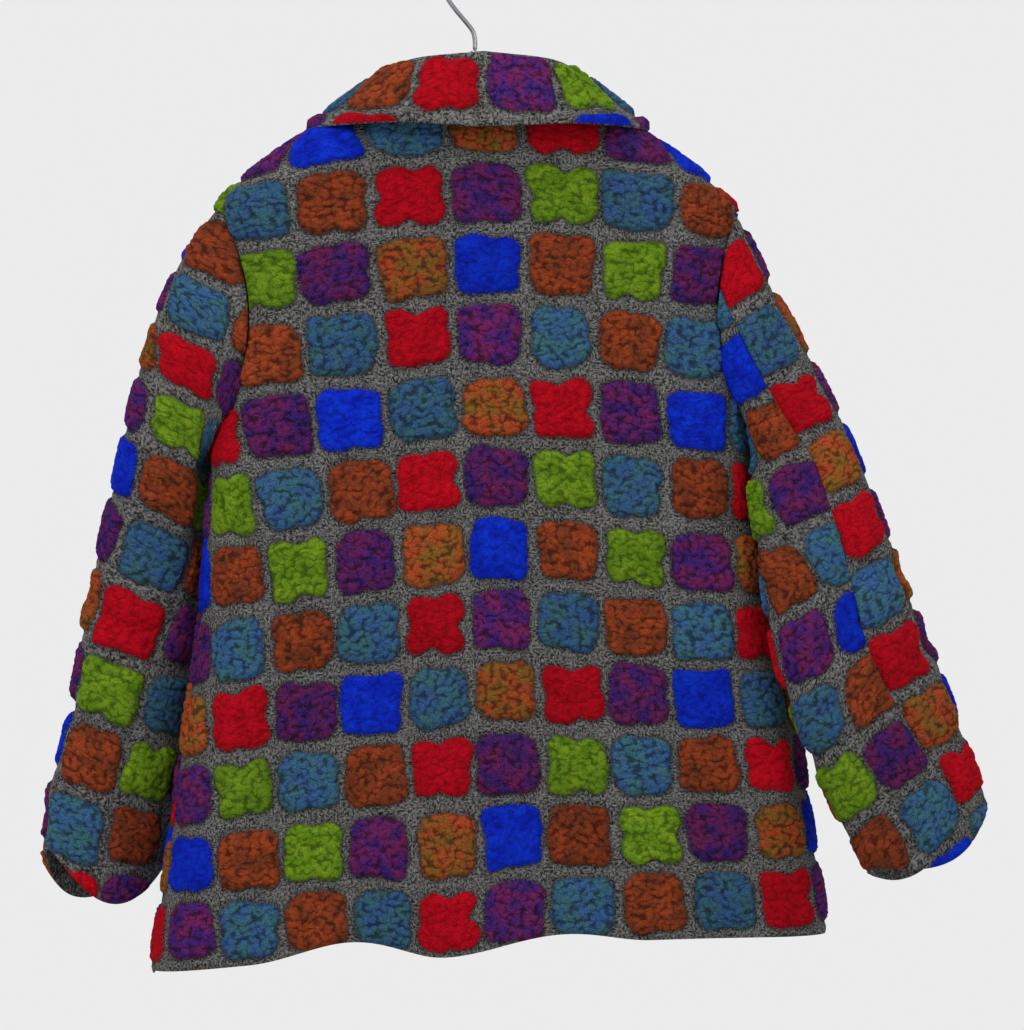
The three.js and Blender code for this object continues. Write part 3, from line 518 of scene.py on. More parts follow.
def back_grid():
    base = body_rows()[:, None]
    part = np.linspace(-1, 1, thirds(2 * 290) + 1)[None, :]
    side = np.where(part < 0, -1, 1) + 0 * base
    edge_z = base + hem_share(base) * (hem_edge(side) - HEM_MEAN)
    edge = edge_s(edge_z, side) - side * SEAM / 2
    mid = loop_at(edge_z)[0]
    x = body_point(mid + (edge - mid) * np.abs(part), edge_z, -1)[..., 0]
    share = np.clip((x - mid) / (edge_x(edge_z, side) - mid), 0, 1)
    share = np.where(np.abs(part) == 1, 1, share)
    z = base - 13 * smooth(SHOULDER_TIP, NECK_SIDE, base) * (1 - share * share)
    off = hem_edge(side) - hem_height(edge, -1)
    z = z + hem_share(base) * (hem_height(x, -1) + off * share**2 - HEM_MEAN)
    z = np.where(share == 1, edge_z, z)
    along = mid + (edge_s(z, side) - side * SEAM / 2 - mid) * np.abs(part)
    s = np.where(base <= UNDERARM, along, s_of_x(x, z))
    s = np.where(share == 1, edge, s)
    return s, z


def front_grid(side):
    base = body_rows()[:, None]
    centre = OVERLAP_LEFT if side < 0 else OVERLAP_RIGHT
    part = np.linspace(0, 1, thirds(300) + 1)[None, :]
    edge_z = base + hem_share(base) * (hem_edge(side) - HEM_MEAN) + 0 * part
    edge = edge_s(edge_z, side) - side * SEAM / 2
    x = body_point(centre + (edge - centre) * part, edge_z, 1)[..., 0]
    far = edge_x(edge_z, side)
    share = np.where(part == 1, 1, np.clip((x - centre) / (far - centre), 0, 1))
    rise = np.clip((base - UNDERARM) / (NECK_SIDE - UNDERARM), 0, 1)
    reach = np.clip(np.where(part == 1, 1, x / far), 0, 1) ** mix(1, 2.2, rise)
    low = mix(UNDERARM, NECK_FRONT, rise)
    z = np.where(base <= UNDERARM, base, mix(low, base, reach))
    off = hem_edge(side) - hem_height(edge, 1)
    z = z + hem_share(base) * (hem_height(x, 1) + off * share**2 - HEM_MEAN)
    z = np.where(part == 1, edge_z, z)
    along = centre + (edge_s(z, side) - side * SEAM / 2 - centre) * part
    s = np.where(base <= UNDERARM, along, s_of_x(x, z))
    s = np.where(part == 1, edge, s)
    return s, z


print("back grid", back_grid()[0].shape, "and front grid", front_grid(1)[0].shape)

# %% [markdown]
# ## Where a point lies in the cloth
# The blocks are woven before the coat is cut, so they follow the cloth over the shoulder.
# An image on a UV map could carry them, but then they couldn't be raised cleanly. Instead
# each grid point gets its column and row in the block repeat, found by running the cloth's
# own rule backwards.

# %% Columns and rows on the body
def lengths_above_chest(s, z, face):
    """Height measured along the cloth: z itself up to the chest, then length at constant s."""
    s_line = np.linspace(s.min() - 2, s.max() + 2, 240)
    z_line = np.arange(CHEST, -90, 1.5)
    path = body_point(s_line[:, None], z_line[None, :], face)
    length = np.linalg.norm(np.diff(path, axis=1), axis=-1)
    table = np.concatenate([np.zeros((len(s_line), 1)), np.cumsum(length, axis=1)], axis=1)
    a = np.clip((s - s_line[0]) / (s_line[1] - s_line[0]), 0, len(s_line) - 1.001)
    b = np.clip((z - CHEST) / 1.5, 0, len(z_line) - 1.001)
    i, j = a.astype(int), b.astype(int)
    a, b = a - i, b - j
    low = table[i, j] * (1 - a) + table[i + 1, j] * a
    high = table[i, j + 1] * (1 - a) + table[i + 1, j + 1] * a
    return np.where(z <= CHEST, z, CHEST + low * (1 - b) + high * b)


def back_repeat(s, v):
    r = (ROW_ZERO - v) / ROW
    for _ in range(14):
        _, left, right, _, _ = read(BACK_ROWS, r)
        off = s - COLUMN_ZERO - COLUMN_LEAN * r
        c = off / np.where(off < 0, left, right)
        r = r + (back_cloth(c, r)[1] - v) / ROW
    return c, r


def front_repeat(s, v):
    c, r = (s - COLUMN_ZERO) / FRONT_PITCH, (ROW_ZERO - v) / ROW
    for _ in range(10):
        r = r + (front_cloth(c, r)[1] - v) / ROW
    return c, r


column, row = back_repeat(np.array([100.0]), np.array([-500.0]))
print("a point of the back is at column", round(column[0], 2), "and row", round(row[0], 2))

# %% [markdown]
# ## Fine grids on sleeves and collar
# Each sleeve is sewn from an upper and an under part. Their block rows run round the arm,
# and their columns are counted from the seam down its back, where the two charts meet a
# little out of step. The collar's block rows run along its fold.

# %% Grids of sleeves and collar
def sleeve_grid(sleeve, upper):
    low, high = (FRONT_TURN - 2 * np.pi, BACK_TURN) if upper else (BACK_TURN, FRONT_TURN)
    turn = np.linspace(low, high, thirds(178) + 1)[None, :]
    cap = np.linspace(0, 1, thirds(190) + 1)[:, None]
    down = np.linspace(0, 1, thirds(sleeve["cuff"] + 14) + 1)[1:, None]
    most, full, start, stop = sleeve["drift"]
    on_cap = turn + most * smooth(0, full, cap)
    below = turn + most * (1 - smooth(start, stop, down))
    bow = sleeve["cuff_bow"] * np.sin(below) ** 2 * smooth(0.4, 1, down)
    v = np.concatenate([-cap_length(sleeve, on_cap) * (1 - cap), sleeve["cuff"] * down + bow])
    place, turn = np.concatenate([on_cap, below]), turn + 0 * v
    shift, step = sleeve["upper" if upper else "under"]
    mean, bend = turn_bend(sleeve, v)
    t = turn
    for _ in range(14):
        t = turn - bend * np.sin(2 * t)
    length = mean * (t - BACK_TURN + bend * np.sin(2 * BACK_TURN)) * (-1 if upper else 1)
    taken = sleeve["seam_start"] * np.clip(1 - (v + 200) / (sleeve["cuff"] + 200), 0, 1)
    if not upper:
        taken = taken + sleeve["cut_under"] * smooth(10, 90, v) * (1 - smooth(130, 220, v))
    c = length / SLEEVE_ROW - 0.5 + taken
    r = (v - sleeve["row_start"] - shift - step * c) / SLEEVE_ROW - 3
    moved, begin, end = sleeve["cap_rows"]
    return place, v, c, r + moved * smooth(begin, end, v)


STAND_LINES, FALL_LINES = 19, 40
COLLAR_HALF = COLLAR[-1][0]


def collar_grid():
    stand, fall = np.linspace(0, 1, STAND_LINES), np.linspace(1, 2, FALL_LINES)
    t = np.concatenate([stand, fall[1:]])[:, None]
    u = np.linspace(-COLLAR_HALF, COLLAR_HALF, thirds(2 * COLLAR_HALF) + 1)[None, :]
    points = collar_point(u, t)
    along = np.linalg.norm(np.diff(points, axis=0), axis=-1)
    from_fold = np.concatenate([0 * along[:1], np.cumsum(along, axis=0)])
    from_fold = from_fold - from_fold[STAND_LINES - 1]
    middle = mix(0.45, 0.40, smooth(50, 130, np.abs(u)))
    r = (from_fold - middle * from_fold[-1]) / ROW
    r = r + 0.14 * smooth(0.38, 0.52, r) * smooth(45, 85, np.abs(u))
    return points, u / COLLAR_PITCH - 0.5 + 0 * t, r


print("sleeve grid", sleeve_grid(SLEEVE_RIGHT, True)[0].shape, "and collar grid",
      collar_grid()[0].shape[:2])

# %% [markdown]
# ## Colours of the blocks
# Five columns by four rows of colours repeat over the cloth. They were charted as a weaver charts a
# draft. A block's colour also says where its outline is drawn in, because the denser yarns pull
# harder.

# %% Dyes and chart
def linear(*rgb):
    c = np.array(rgb) / 255
    return np.where(c <= 0.04045, c / 12.92, ((c + 0.055) / 1.055) ** 2.4)


# Dye: first tone, second tone, strength of the curls, squareness, notch at top, right,
# bottom and left
DYES = {
    "purple": (linear(124, 34, 96), linear(66, 32, 122), 1.0, 4.2, 0.02, 0.03, 0.04, 0.02),
    "blue": (linear(12, 62, 246), linear(6, 42, 214), 0.5, 5.0, 0.05, 0.04, 0.03, 0.04),
    "green": (linear(134, 172, 34), linear(104, 148, 22), 0.8, 4.4, 0.20, 0.07, 0.17, 0.10),
    "rust": (linear(174, 72, 32), linear(126, 58, 28), 1.0, 3.9, 0.03, 0.03, 0.09, 0.03),
    "teal": (linear(58, 100, 158), linear(64, 114, 126), 1.0, 3.7, 0.04, 0.03, 0.03, 0.03),
    "red": (linear(222, 8, 34), linear(200, 4, 28), 0.45, 4.8, 0.19, 0.19, 0.14, 0.11),
    "orange": (linear(190, 76, 38), linear(144, 100, 36), 1.0, 3.9, 0.03, 0.04, 0.06, 0.03),
}
NAMES = list(DYES)
COLUMNS = [
    ["purple", "blue", "purple", "orange"], ["green", "rust", "teal", "red"],
    ["teal", "green", "rust", "purple"], ["rust", "purple", "teal", "blue"],
    ["red", "orange", "red", "teal"],
]
CHART = np.array([[NAMES.index(name) for name in column] for column in COLUMNS])
print("chart of", len(COLUMNS), "by", len(COLUMNS[0]), "blocks in", ", ".join(NAMES))

# %% [markdown]
# ## Outlines of the blocks
# Each block is a rounded square, notched where its yarns pull, and a little turned, moved,
# larger or darker by a chance of its own. The chance is worked out from its panel, column
# and row, so it is the same in every run. `pad` is the distance inside the outline.

# %% Block outlines
HALF_BLOCK = 0.425  # of a repeat
COLLAR_NUMBER = 8  # its edge shows a strip of the next row, red on one side and blue on the other


def chance(*keys):
    mixed = sum(key * k for key, k in zip(keys, (127.1, 311.7, 74.7, 19.19)))
    return np.modf(np.abs(np.sin(mixed) * 43758.5453))[0]


def block_fields(c, r, column_of, number):
    n, m = np.round(c), np.round(r)
    dye = CHART[column_of(n).astype(int) % 5, m.astype(int) % 4]
    if number == COLLAR_NUMBER:
        strip = np.where(n < 0, NAMES.index("red"), NAMES.index("blue"))
        strip = np.where(np.abs(n + 0.5) < 2, strip, NAMES.index("purple"))
        dye = np.where((m == 1) & (np.abs(n + 0.5) < 4), strip, dye)
    tones = np.array([[a, b] for a, b, *_ in DYES.values()])
    shape = np.array([rest for _, _, *rest in DYES.values()])[dye]

    def luck(k):
        return chance(n + number * 7, m, k + 0 * n, 1)

    p, q = c - n - 0.05 * (luck(1) - 0.5), r - m - 0.05 * (luck(2) - 0.5)
    tilt = 0.16 * (luck(18) - 0.5)
    p, q = p * np.cos(tilt) + q * np.sin(tilt), q * np.cos(tilt) - p * np.sin(tilt)
    angle, rho = np.arctan2(q, p), np.hypot(p, q)
    half_p = HALF_BLOCK * (1.05 + 0.10 * (luck(3) - 0.5))
    half_q = HALF_BLOCK * (0.98 + 0.08 * (luck(4) - 0.5))
    power = shape[..., 1] * (0.8 + 0.4 * luck(19))
    reach = (np.abs(np.cos(angle) / half_p) ** power
             + np.abs(np.sin(angle) / half_q) ** power) ** (-1 / power)
    for k, (middle, wide) in enumerate([(-90, 19), (0, 16), (90, 17), (180, 16)]):
        off = np.degrees(angle) - middle - 20 * (luck(5 + k) - 0.5)
        off = (off + 180) % 360 - 180
        notch = shape[..., 2 + k] * (0.35 + 1.3 * luck(9 + k))
        reach = reach * (1 - notch * np.exp(-((off / wide) ** 2)))
    for waves, size, k in ((3, 0.030, 13), (5, 0.024, 14), (8, 0.018, 15), (13, 0.012, 16)):
        reach = reach * (1 + size * np.sin(waves * angle + 6.28 * luck(k)))
    pad = (reach - rho) * REPEAT
    if number == COLLAR_NUMBER:
        pad = np.where((m == 1) & (np.abs(n + 0.5) < 1), NO_BLOCK, pad)
    age = 0.76 + 0.28 * luck(17)[..., None]
    return pad, shape[..., 0], tones[dye, 0] * age, tones[dye, 1] * age


inside = block_fields(np.zeros(1), np.zeros(1), lambda n: n, 1)[0]
print("a block's middle is", round(inside[0], 1), "mm inside its outline")

# %% [markdown]
# ## Seams and creases
# A pressed seam lies lower than the cloth beside it, and wear leaves creases at elbows,
# armholes and hem. Sculpting would do, but two short rules keep them to be changed: one
# measures how far each point is from an edge, the other presses short troughs with a small
# swelling beside them.

# %% Edges and creases
def grid_normals(points, sign):
    across = np.gradient(points, axis=1)
    down = np.gradient(points, axis=0)
    return unit(np.cross(across, down) * sign)


def spread(points, axis):
    """Distances from each grid point to the next one."""
    return np.linalg.norm(np.diff(points, axis=axis), axis=-1)


def rim_distance(points, free):
    """Least distance along the grid to the sewn edges, and to the free ones named in free."""
    left = np.pad(np.cumsum(spread(points, 1), axis=1), ((0, 0), (1, 0)))
    low = np.pad(np.cumsum(spread(points, 0), axis=0), ((1, 0), (0, 0)))
    edges = dict(first=low, last=low[-1:] - low, start=left, end=left[:, -1:] - left)
    sewn = np.minimum.reduce([d for k, d in edges.items() if k not in free] + [0 * left + 99])
    loose = np.minimum.reduce([d for k, d in edges.items() if k in free] + [0 * left + 99])
    return sewn, loose


def press_creases(points, normals, c, r, lines):
    shift = np.zeros(c.shape)
    for c0, r0, c1, r1, wide, deep in lines:
        a = np.stack([c - c0, r - r0], -1) * REPEAT
        d = np.array([c1 - c0, r1 - r0]) * float(REPEAT)
        t = np.clip((a @ d) / (d @ d), 0, 1)
        off = np.linalg.norm(a - t[..., None] * d, axis=-1) / wide
        taper = np.sin(np.pi * np.clip(0.12 + 0.76 * t, 0, 1))
        shift -= deep * taper * (np.exp(-(off**2)) - 0.45 * np.exp(-((off - 1.7) ** 2) * 1.6))
    return points + normals * shift[..., None]


deepest = max(line[-1] for lines in CREASES.values() for line in lines)
print("deepest crease:", deepest, "mm")

# %% [markdown]
# ## From grid to closed shell
# Real cloth has two faces and a cut edge. A Solidify modifier would give them the same fine
# grid, twice the triangles. Here the inner face is plain and three times coarser than the
# outer one, and a rim joins the two, so every panel is closed with its normals outward.

# %% Shell builder
def add_attribute(mesh, name, kind, values):
    field = {"FLOAT": "value", "FLOAT_VECTOR": "vector", "FLOAT_COLOR": "color"}[kind]
    attribute = mesh.attributes.new(name, kind, "POINT")
    attribute.data.foreach_set(field, np.ascontiguousarray(values, np.float32).ravel())


def shell(name, points, normals, sign, fields):
    rows, cols = points.shape[:2]
    top = np.arange(rows * cols).reshape(rows, cols)
    inner = (points - normals * WALL)[::COARSE, ::COARSE]
    under = rows * cols + np.arange(inner[..., 0].size).reshape(inner.shape[:2])
    faces = np.stack([top[:-1, :-1], top[:-1, 1:], top[1:, 1:], top[1:, :-1]], -1)
    back = np.stack([under[:-1, :-1], under[1:, :-1], under[1:, 1:], under[:-1, 1:]], -1)
    faces = faces.reshape(-1, 4).tolist() + back.reshape(-1, 4).tolist()
    rims = [(top[0, ::-1], under[0, ::-1]), (top[-1], under[-1]),
            (top[:, 0], under[:, 0]), (top[::-1, -1], under[::-1, -1])]
    for outer, low in rims:
        for k in range(len(low) - 1):
            fine = outer[COARSE * k:COARSE * (k + 1) + 1]
            faces.append([*fine.tolist(), int(low[k + 1]), int(low[k])])
    if sign < 0:
        faces = [face[::-1] for face in faces]
    mesh = bpy.data.meshes.new(name)
    vertices = np.concatenate([points.reshape(-1, 3), inner.reshape(-1, 3)]) * MM
    mesh.from_pydata(vertices.tolist(), [], faces)
    mesh.shade_smooth()
    mesh.set_sharp_from_angle(angle=math.radians(60))
    for key, (kind, values, below) in fields.items():
        low = values[::COARSE, ::COARSE]
        if below is not None:
            low = np.broadcast_to(below, low.shape)
        flat = [a.reshape(-1, *values.shape[2:]) for a in (values, low)]
        add_attribute(mesh, key, kind, np.concatenate(flat))
    obj = bpy.data.objects.new(name, mesh)
    bpy.context.scene.collection.objects.link(obj)
    return obj


print("one inner step to", COARSE, "outer steps of", STEP, "mm, cloth of", WALL, "mm")

# %% [markdown]
# ## One panel
# Each panel carries what its cloth needs to know at every point: the place in the cloth,
# the direction to rise in, the distance inside a block, how much relief there may be, the
# groove at its seams and its two dyes. They are attributes of the mesh. Blocks are pressed
# flatter under the buttons and under the arms.

# %% Panel
PRESSED_ARM = (0.5, 25, 60)  # share pressed away, and the distances where it starts to fade and ends
PRESSED_BUTTON = (0.4, BUTTON_R, 22)
EDGE_WIDTH, SEAM_GROOVE, EDGE_GROOVE = 3, 0.9, 1.3


def pressed(points, place, share, near, far):
    """How much of the relief is left round a place that is pressed."""
    off = np.linalg.norm(points - place, axis=-1)
    return 1 - share * (1 - smooth(near, far, off))


def panel(name, points, c, r, sign, column_of, number, free, joined=None, flat=None):
    """Makes one panel. joined gives the shared directions of an edge sewn to another panel."""
    normals = grid_normals(points, sign)
    points = press_creases(points, normals, c, r, CREASES[name])
    if joined:
        joined(normals)
    sewn, loose = rim_distance(points, free)
    pad, curl, tone_a, tone_b = block_fields(c, r, column_of, number)
    if flat is not None:
        pad = np.where(flat, NO_BLOCK, pad)
    outer = smooth(0, 4.5, np.minimum(sewn + 0.5, loose))
    press = [pressed(points, armhole_point(sleeve, np.array(np.pi)), *PRESSED_ARM)
             for sleeve in (SLEEVE_RIGHT, SLEEVE_LEFT)]
    if name.startswith("front"):
        press += [pressed(points, body_point(BUTTON_X, z, 1), *PRESSED_BUTTON) for z in BUTTON_Z]
    cells = np.cross(np.diff(points, axis=1)[:-1], np.diff(points, axis=0)[:, :-1])
    area = float(np.linalg.norm(cells, axis=-1).sum() * MM * MM)
    wide = float(spread(points, 1).sum(axis=1).max() * MM)
    long = float(spread(points, 0).sum(axis=0).max() * MM)
    groove = -SEAM_GROOVE * (1 - smooth(0, EDGE_WIDTH, sewn)) \
        - EDGE_GROOVE * (1 - smooth(0, EDGE_WIDTH, loose))
    cloth = np.stack([c * REPEAT, r * REPEAT, number * 400 + 0 * c], -1)
    dye_a, dye_b = (np.concatenate([tone, 1 + 0 * tone[..., :1]], -1) for tone in (tone_a, tone_b))
    obj = shell(name + "_cloth", points, normals, sign, {
        "cloth": ("FLOAT_VECTOR", cloth, None),
        "out": ("FLOAT_VECTOR", normals, None),
        "pad": ("FLOAT", pad, NO_BLOCK),
        "outer": ("FLOAT", outer * np.minimum.reduce(press), 0),
        "groove": ("FLOAT", groove, 0),
        "curl": ("FLOAT", curl, 0),
        "dye_a": ("FLOAT_COLOR", dye_a, None),
        "dye_b": ("FLOAT_COLOR", dye_b, None),
    })
    print(name, "grid", points.shape[:2], "area", round(area, 3), "m2")
    return dict(obj=obj, node=name, area=area, flat=(wide, long))


# %% [markdown]
# ## Cutting the eight panels
# A cutter lays out a back, two fronts, two parts for each sleeve and a collar. Each is cut
# here from its own grid, with its own number so that its chances differ. Panels that share
# an armhole share their directions there, so that their faces meet without a step.

# %% Panels
def body_panel(name, s, z, face, lap, number, free, edges):
    v = lengths_above_chest(s, z, face)
    c, r = back_repeat(s, v) if face < 0 else front_repeat(s, v)
    points = body_point(s, z, face, lap)
    sign = 1 if (face < 0) or (name == "front_left") else -1
    base = body_rows()
    at_arm = (base >= UNDERARM) & (base <= SHOULDER_TIP)

    def joined(normals):
        for column, sleeve in edges:
            shared = armhole_normal(sleeve, arm_turns(base[at_arm], face))
            normals[at_arm, column] = shared

    made = panel(name, points, c, r, sign, lambda n: n, number, free, joined)
    made["flat"] = (made["flat"][0], float(v.max() - v.min()) * MM)
    return made


def sleeve_panel(name, sleeve, upper, number):
    turn, v, c, r = sleeve_grid(sleeve, upper)
    points = sleeve_point(sleeve, turn, v)
    for edge, beside in ((0, 1), (-1, -2)):
        points[:, edge] += unit(points[:, beside] - points[:, edge]) * 0.6 * SEAM
    start, way = {(1, True): (4, 1), (1, False): (3, -1), (-1, True): (1, -1),
                  (-1, False): (2, 1)}[sleeve["side"], upper]

    def joined(normals):
        normals[0] = armhole_normal(sleeve, turn[0])

    return panel(name, points, c, r, sleeve["side"], lambda n: start + way * n, number,
                 ("last",), joined)


def collar_panel(number):
    points, c, r = collar_grid()
    stand = np.arange(points.shape[0])[:, None] < STAND_LINES + 0 * c
    return panel("collar", points, c, r, -1, lambda n: n, number, ("last", "start", "end"),
                 flat=stand)


cut = [
    body_panel("back", *back_grid(), -1, 0, 1, ("first", "last"),
               [(0, SLEEVE_LEFT), (-1, SLEEVE_RIGHT)]),
    body_panel("front_right", *front_grid(1), 1, 0, 2, ("first", "start"), [(-1, SLEEVE_RIGHT)]),
    body_panel("front_left", *front_grid(-1), 1, 1, 3, ("first", "start"), [(-1, SLEEVE_LEFT)]),
    sleeve_panel("sleeve_right_upper", SLEEVE_RIGHT, True, 4),
    sleeve_panel("sleeve_right_under", SLEEVE_RIGHT, False, 5),
    sleeve_panel("sleeve_left_upper", SLEEVE_LEFT, True, 6),
    sleeve_panel("sleeve_left_under", SLEEVE_LEFT, False, 7),
    collar_panel(COLLAR_NUMBER),
]
print("cut", len(cut), "panels,", round(sum(made["area"] for made in cut), 2), "m2 of cloth")

# %% [markdown]
# ## Helpers for node trees
# Wool is rough at every size, so its relief and its colour both come from node trees.
# Written out one by one, their nodes would fill pages. `node` adds one node and fills its
# inputs by name or number, and the helpers below it are its common uses.

# %% Node helpers
def fill(tree, made, inputs):
    for key, value in inputs.items():
        socket = made.inputs[key]
        if isinstance(value, bpy.types.NodeSocket):
            tree.links.new(value, socket)
        else:
            socket.default_value = value


def node(tree, kind, inputs=None, **settings):
    made = tree.nodes.new(kind)
    count = len(tree.nodes) - 1
    made.location = (190 * (count // 4), -230 * (count % 4))
    for key, value in settings.items():
        setattr(made, key, value)
    fill(tree, made, inputs or {})
    return made


def maths(tree, operation, *values):
    made = node(tree, "ShaderNodeMath", dict(enumerate(values)), operation=operation)
    return made.outputs[0]


def vector_maths(tree, operation, first, second):
    key = "Scale" if operation == "SCALE" else 1
    made = node(tree, "ShaderNodeVectorMath", {0: first, key: second}, operation=operation)
    return made.outputs[0]


def swing(tree, value, size, middle=0.5):
    """Turns a value that lies round its middle into one that swings round 0."""
    return maths(tree, "MULTIPLY", maths(tree, "SUBTRACT", value, middle), size)


def fade(tree, value, a, b, low=0.0, high=1.0):
    """Goes softly from low to high while value goes from a to b."""
    return node(tree, "ShaderNodeMapRange", {
        "Value": value, "From Min": a, "From Max": b, "To Min": low, "To Max": high,
    }, interpolation_type="SMOOTHSTEP").outputs["Result"]


def noise(tree, vector, scale, detail=2.0, rough=0.5, output=0):
    return node(tree, "ShaderNodeTexNoise", {
        "Vector": vector, "Scale": scale, "Detail": detail, "Roughness": rough,
    }).outputs[output]


def between(tree, factor, a, b):
    return node(tree, "ShaderNodeMix", {0: factor, 2: a, 3: b}, data_type="FLOAT").outputs[0]


def blend(tree, factor, a, b, mode="MIX"):
    made = node(tree, "ShaderNodeMix", {0: factor, 6: a, 7: b}, data_type="RGBA", blend_type=mode)
    return made.outputs[2]


def darken(tree, tone, share):
    grey = node(tree, "ShaderNodeCombineColor", {0: share, 1: share, 2: share}).outputs[0]
    return blend(tree, 1.0, tone, grey, "MULTIPLY")


def new_tree(name, kind, inputs, outputs):
    """A node group with its named sockets, and the outputs of its Group Input node."""
    tree = bpy.data.node_groups.new(name, kind)
    for label, socket, value in inputs:
        made = tree.interface.new_socket(label, in_out="INPUT", socket_type="NodeSocket" + socket)
        if value is not None:
            made.default_value = value
    for label, socket in outputs:
        tree.interface.new_socket(label, in_out="OUTPUT", socket_type="NodeSocket" + socket)
    return tree, node(tree, "NodeGroupInput").outputs


print("node helpers ready")

# %% [markdown]
# ## The curled face of a block
# The yarns of a block shrank more than their ground, so they buckle into small knobs with
# dark lines between. Knobs are cells of uneven size, which is what a smooth Voronoi pattern
# gives, and two noises push it about so that no two knobs match. The relief and the shader
# both read this one function, so that colour and shape agree.

# %% Curls
CURL_SIZE = 4.5
HALF_GREY = (0.5, 0.5, 0.5)


def curls(tree, cloth, size):
    """Crowns of the curled yarn: 1 on a knob, 0 in the dark lines between knobs."""
    place = cloth
    for scale, far in ((0.085, 11.0), (0.42, 4.2)):
        drift = noise(tree, cloth, scale, output="Color")
        drift = vector_maths(tree, "SUBTRACT", drift, HALF_GREY)
        place = vector_maths(tree, "ADD", place, vector_maths(tree, "SCALE", drift, far))
    place = vector_maths(tree, "MULTIPLY", place, (0.82, 1.12, 1.0))
    place = vector_maths(tree, "SCALE", place, maths(tree, "DIVIDE", 1.0, size))
    knob = node(tree, "ShaderNodeTexVoronoi", {
        "Vector": place, "Scale": 1.0, "Smoothness": 0.4, "Randomness": 0.9,
    }, voronoi_dimensions="2D", feature="SMOOTH_F1").outputs["Distance"]
    line = maths(tree, "ABSOLUTE", maths(tree, "SUBTRACT", noise(tree, place, 0.6), 0.5))
    return maths(tree, "MULTIPLY", fade(tree, knob, 0.88, 0.20),
                 fade(tree, line, 0.0, 0.06, 0.66, 1.0))


print("curls of about", CURL_SIZE, "mm")

# %% [markdown]
# ## Raising the blocks
# On the real coat the blocks stand 3 to 5 mm above the ground. Sculpting hundreds of them
# would take days, and a displacement image would fix their look. A Geometry Nodes tree
# does it by rule: it lifts each outer point along its own direction by a soft step at the
# block's outline, a slight dome, the curls, a pressed line round the block and the grain of
# the ground. Its inputs are named, so the cloth can be made flatter or more curled.

# %% Relief tree
def relief_tree():
    tree, given = new_tree("raised blocks", "GeometryNodeTree", [
        ("Geometry", "Geometry", None), ("Block height", "Float", 3.0),
        ("Edge width", "Float", 3.6), ("Dome", "Float", 0.8), ("Curl size", "Float", CURL_SIZE),
        ("Curl height", "Float", 1.9), ("Crease depth", "Float", 0.7),
        ("Ground grain", "Float", 0.22), ("Seed", "Float", 0.0), ("Wool", "Material", None),
    ], [("Geometry", "Geometry")])

    def stored(name, kind="FLOAT"):
        made = node(tree, "GeometryNodeInputNamedAttribute", {"Name": name}, data_type=kind)
        return made.outputs["Attribute"]

    pad = stored("pad")
    seed = node(tree, "ShaderNodeCombineXYZ", {"Z": given["Seed"]}).outputs[0]
    cloth = vector_maths(tree, "ADD", stored("cloth", "FLOAT_VECTOR"), seed)
    dome = maths(tree, "MULTIPLY", fade(tree, pad, 2.0, 17.0), given["Dome"])
    curl = swing(tree, curls(tree, cloth, given["Curl size"]), given["Curl height"], 0.55)
    strength = maths(tree, "ADD", maths(tree, "MULTIPLY", stored("curl"), 0.5), 0.5)
    curl = maths(tree, "MULTIPLY", curl, strength)
    lift = maths(tree, "ADD", maths(tree, "ADD", given["Block height"], dome), curl)
    lift = maths(tree, "MULTIPLY", lift, fade(tree, pad, -0.6, given["Edge width"]))
    near = fade(tree, maths(tree, "ABSOLUTE", maths(tree, "ADD", pad, 1.6)), 3.2, 0.0)
    lift = maths(tree, "SUBTRACT", lift, maths(tree, "MULTIPLY", near, given["Crease depth"]))
    grain = swing(tree, noise(tree, cloth, 0.3, 3.0, 0.6), given["Ground grain"])
    lift = maths(tree, "ADD", lift, maths(tree, "MULTIPLY", grain, 2.0))
    lift = maths(tree, "MULTIPLY", lift, stored("outer"))
    lift = maths(tree, "MULTIPLY", maths(tree, "ADD", lift, stored("groove")), MM)
    offset = vector_maths(tree, "SCALE", stored("out", "FLOAT_VECTOR"), lift)
    moved = node(tree, "GeometryNodeSetPosition", {
        "Geometry": given["Geometry"], "Offset": offset,
    })
    real = node(tree, "GeometryNodeRealizeInstances", {"Geometry": moved.outputs[0]})
    dressed = node(tree, "GeometryNodeSetMaterial", {
        "Geometry": real.outputs[0], "Material": given["Wool"],
    })
    node(tree, "NodeGroupOutput", {"Geometry": dressed.outputs[0]})
    return tree


relief = relief_tree()
SOCKETS = {s.name: s.identifier for s in relief.interface.items_tree if s.in_out == "INPUT"}
print("relief tree with inputs", ", ".join(SOCKETS))

# %% [markdown]
# ## The grey ground
# The ground is spun from black and pale fibres together, so it is neither grey nor striped
# close by. Two stretched noises, one along the coat and one across it, take turns over the
# cloth, as felted fibres lie both ways. It is a node group, so any cloth can use it.

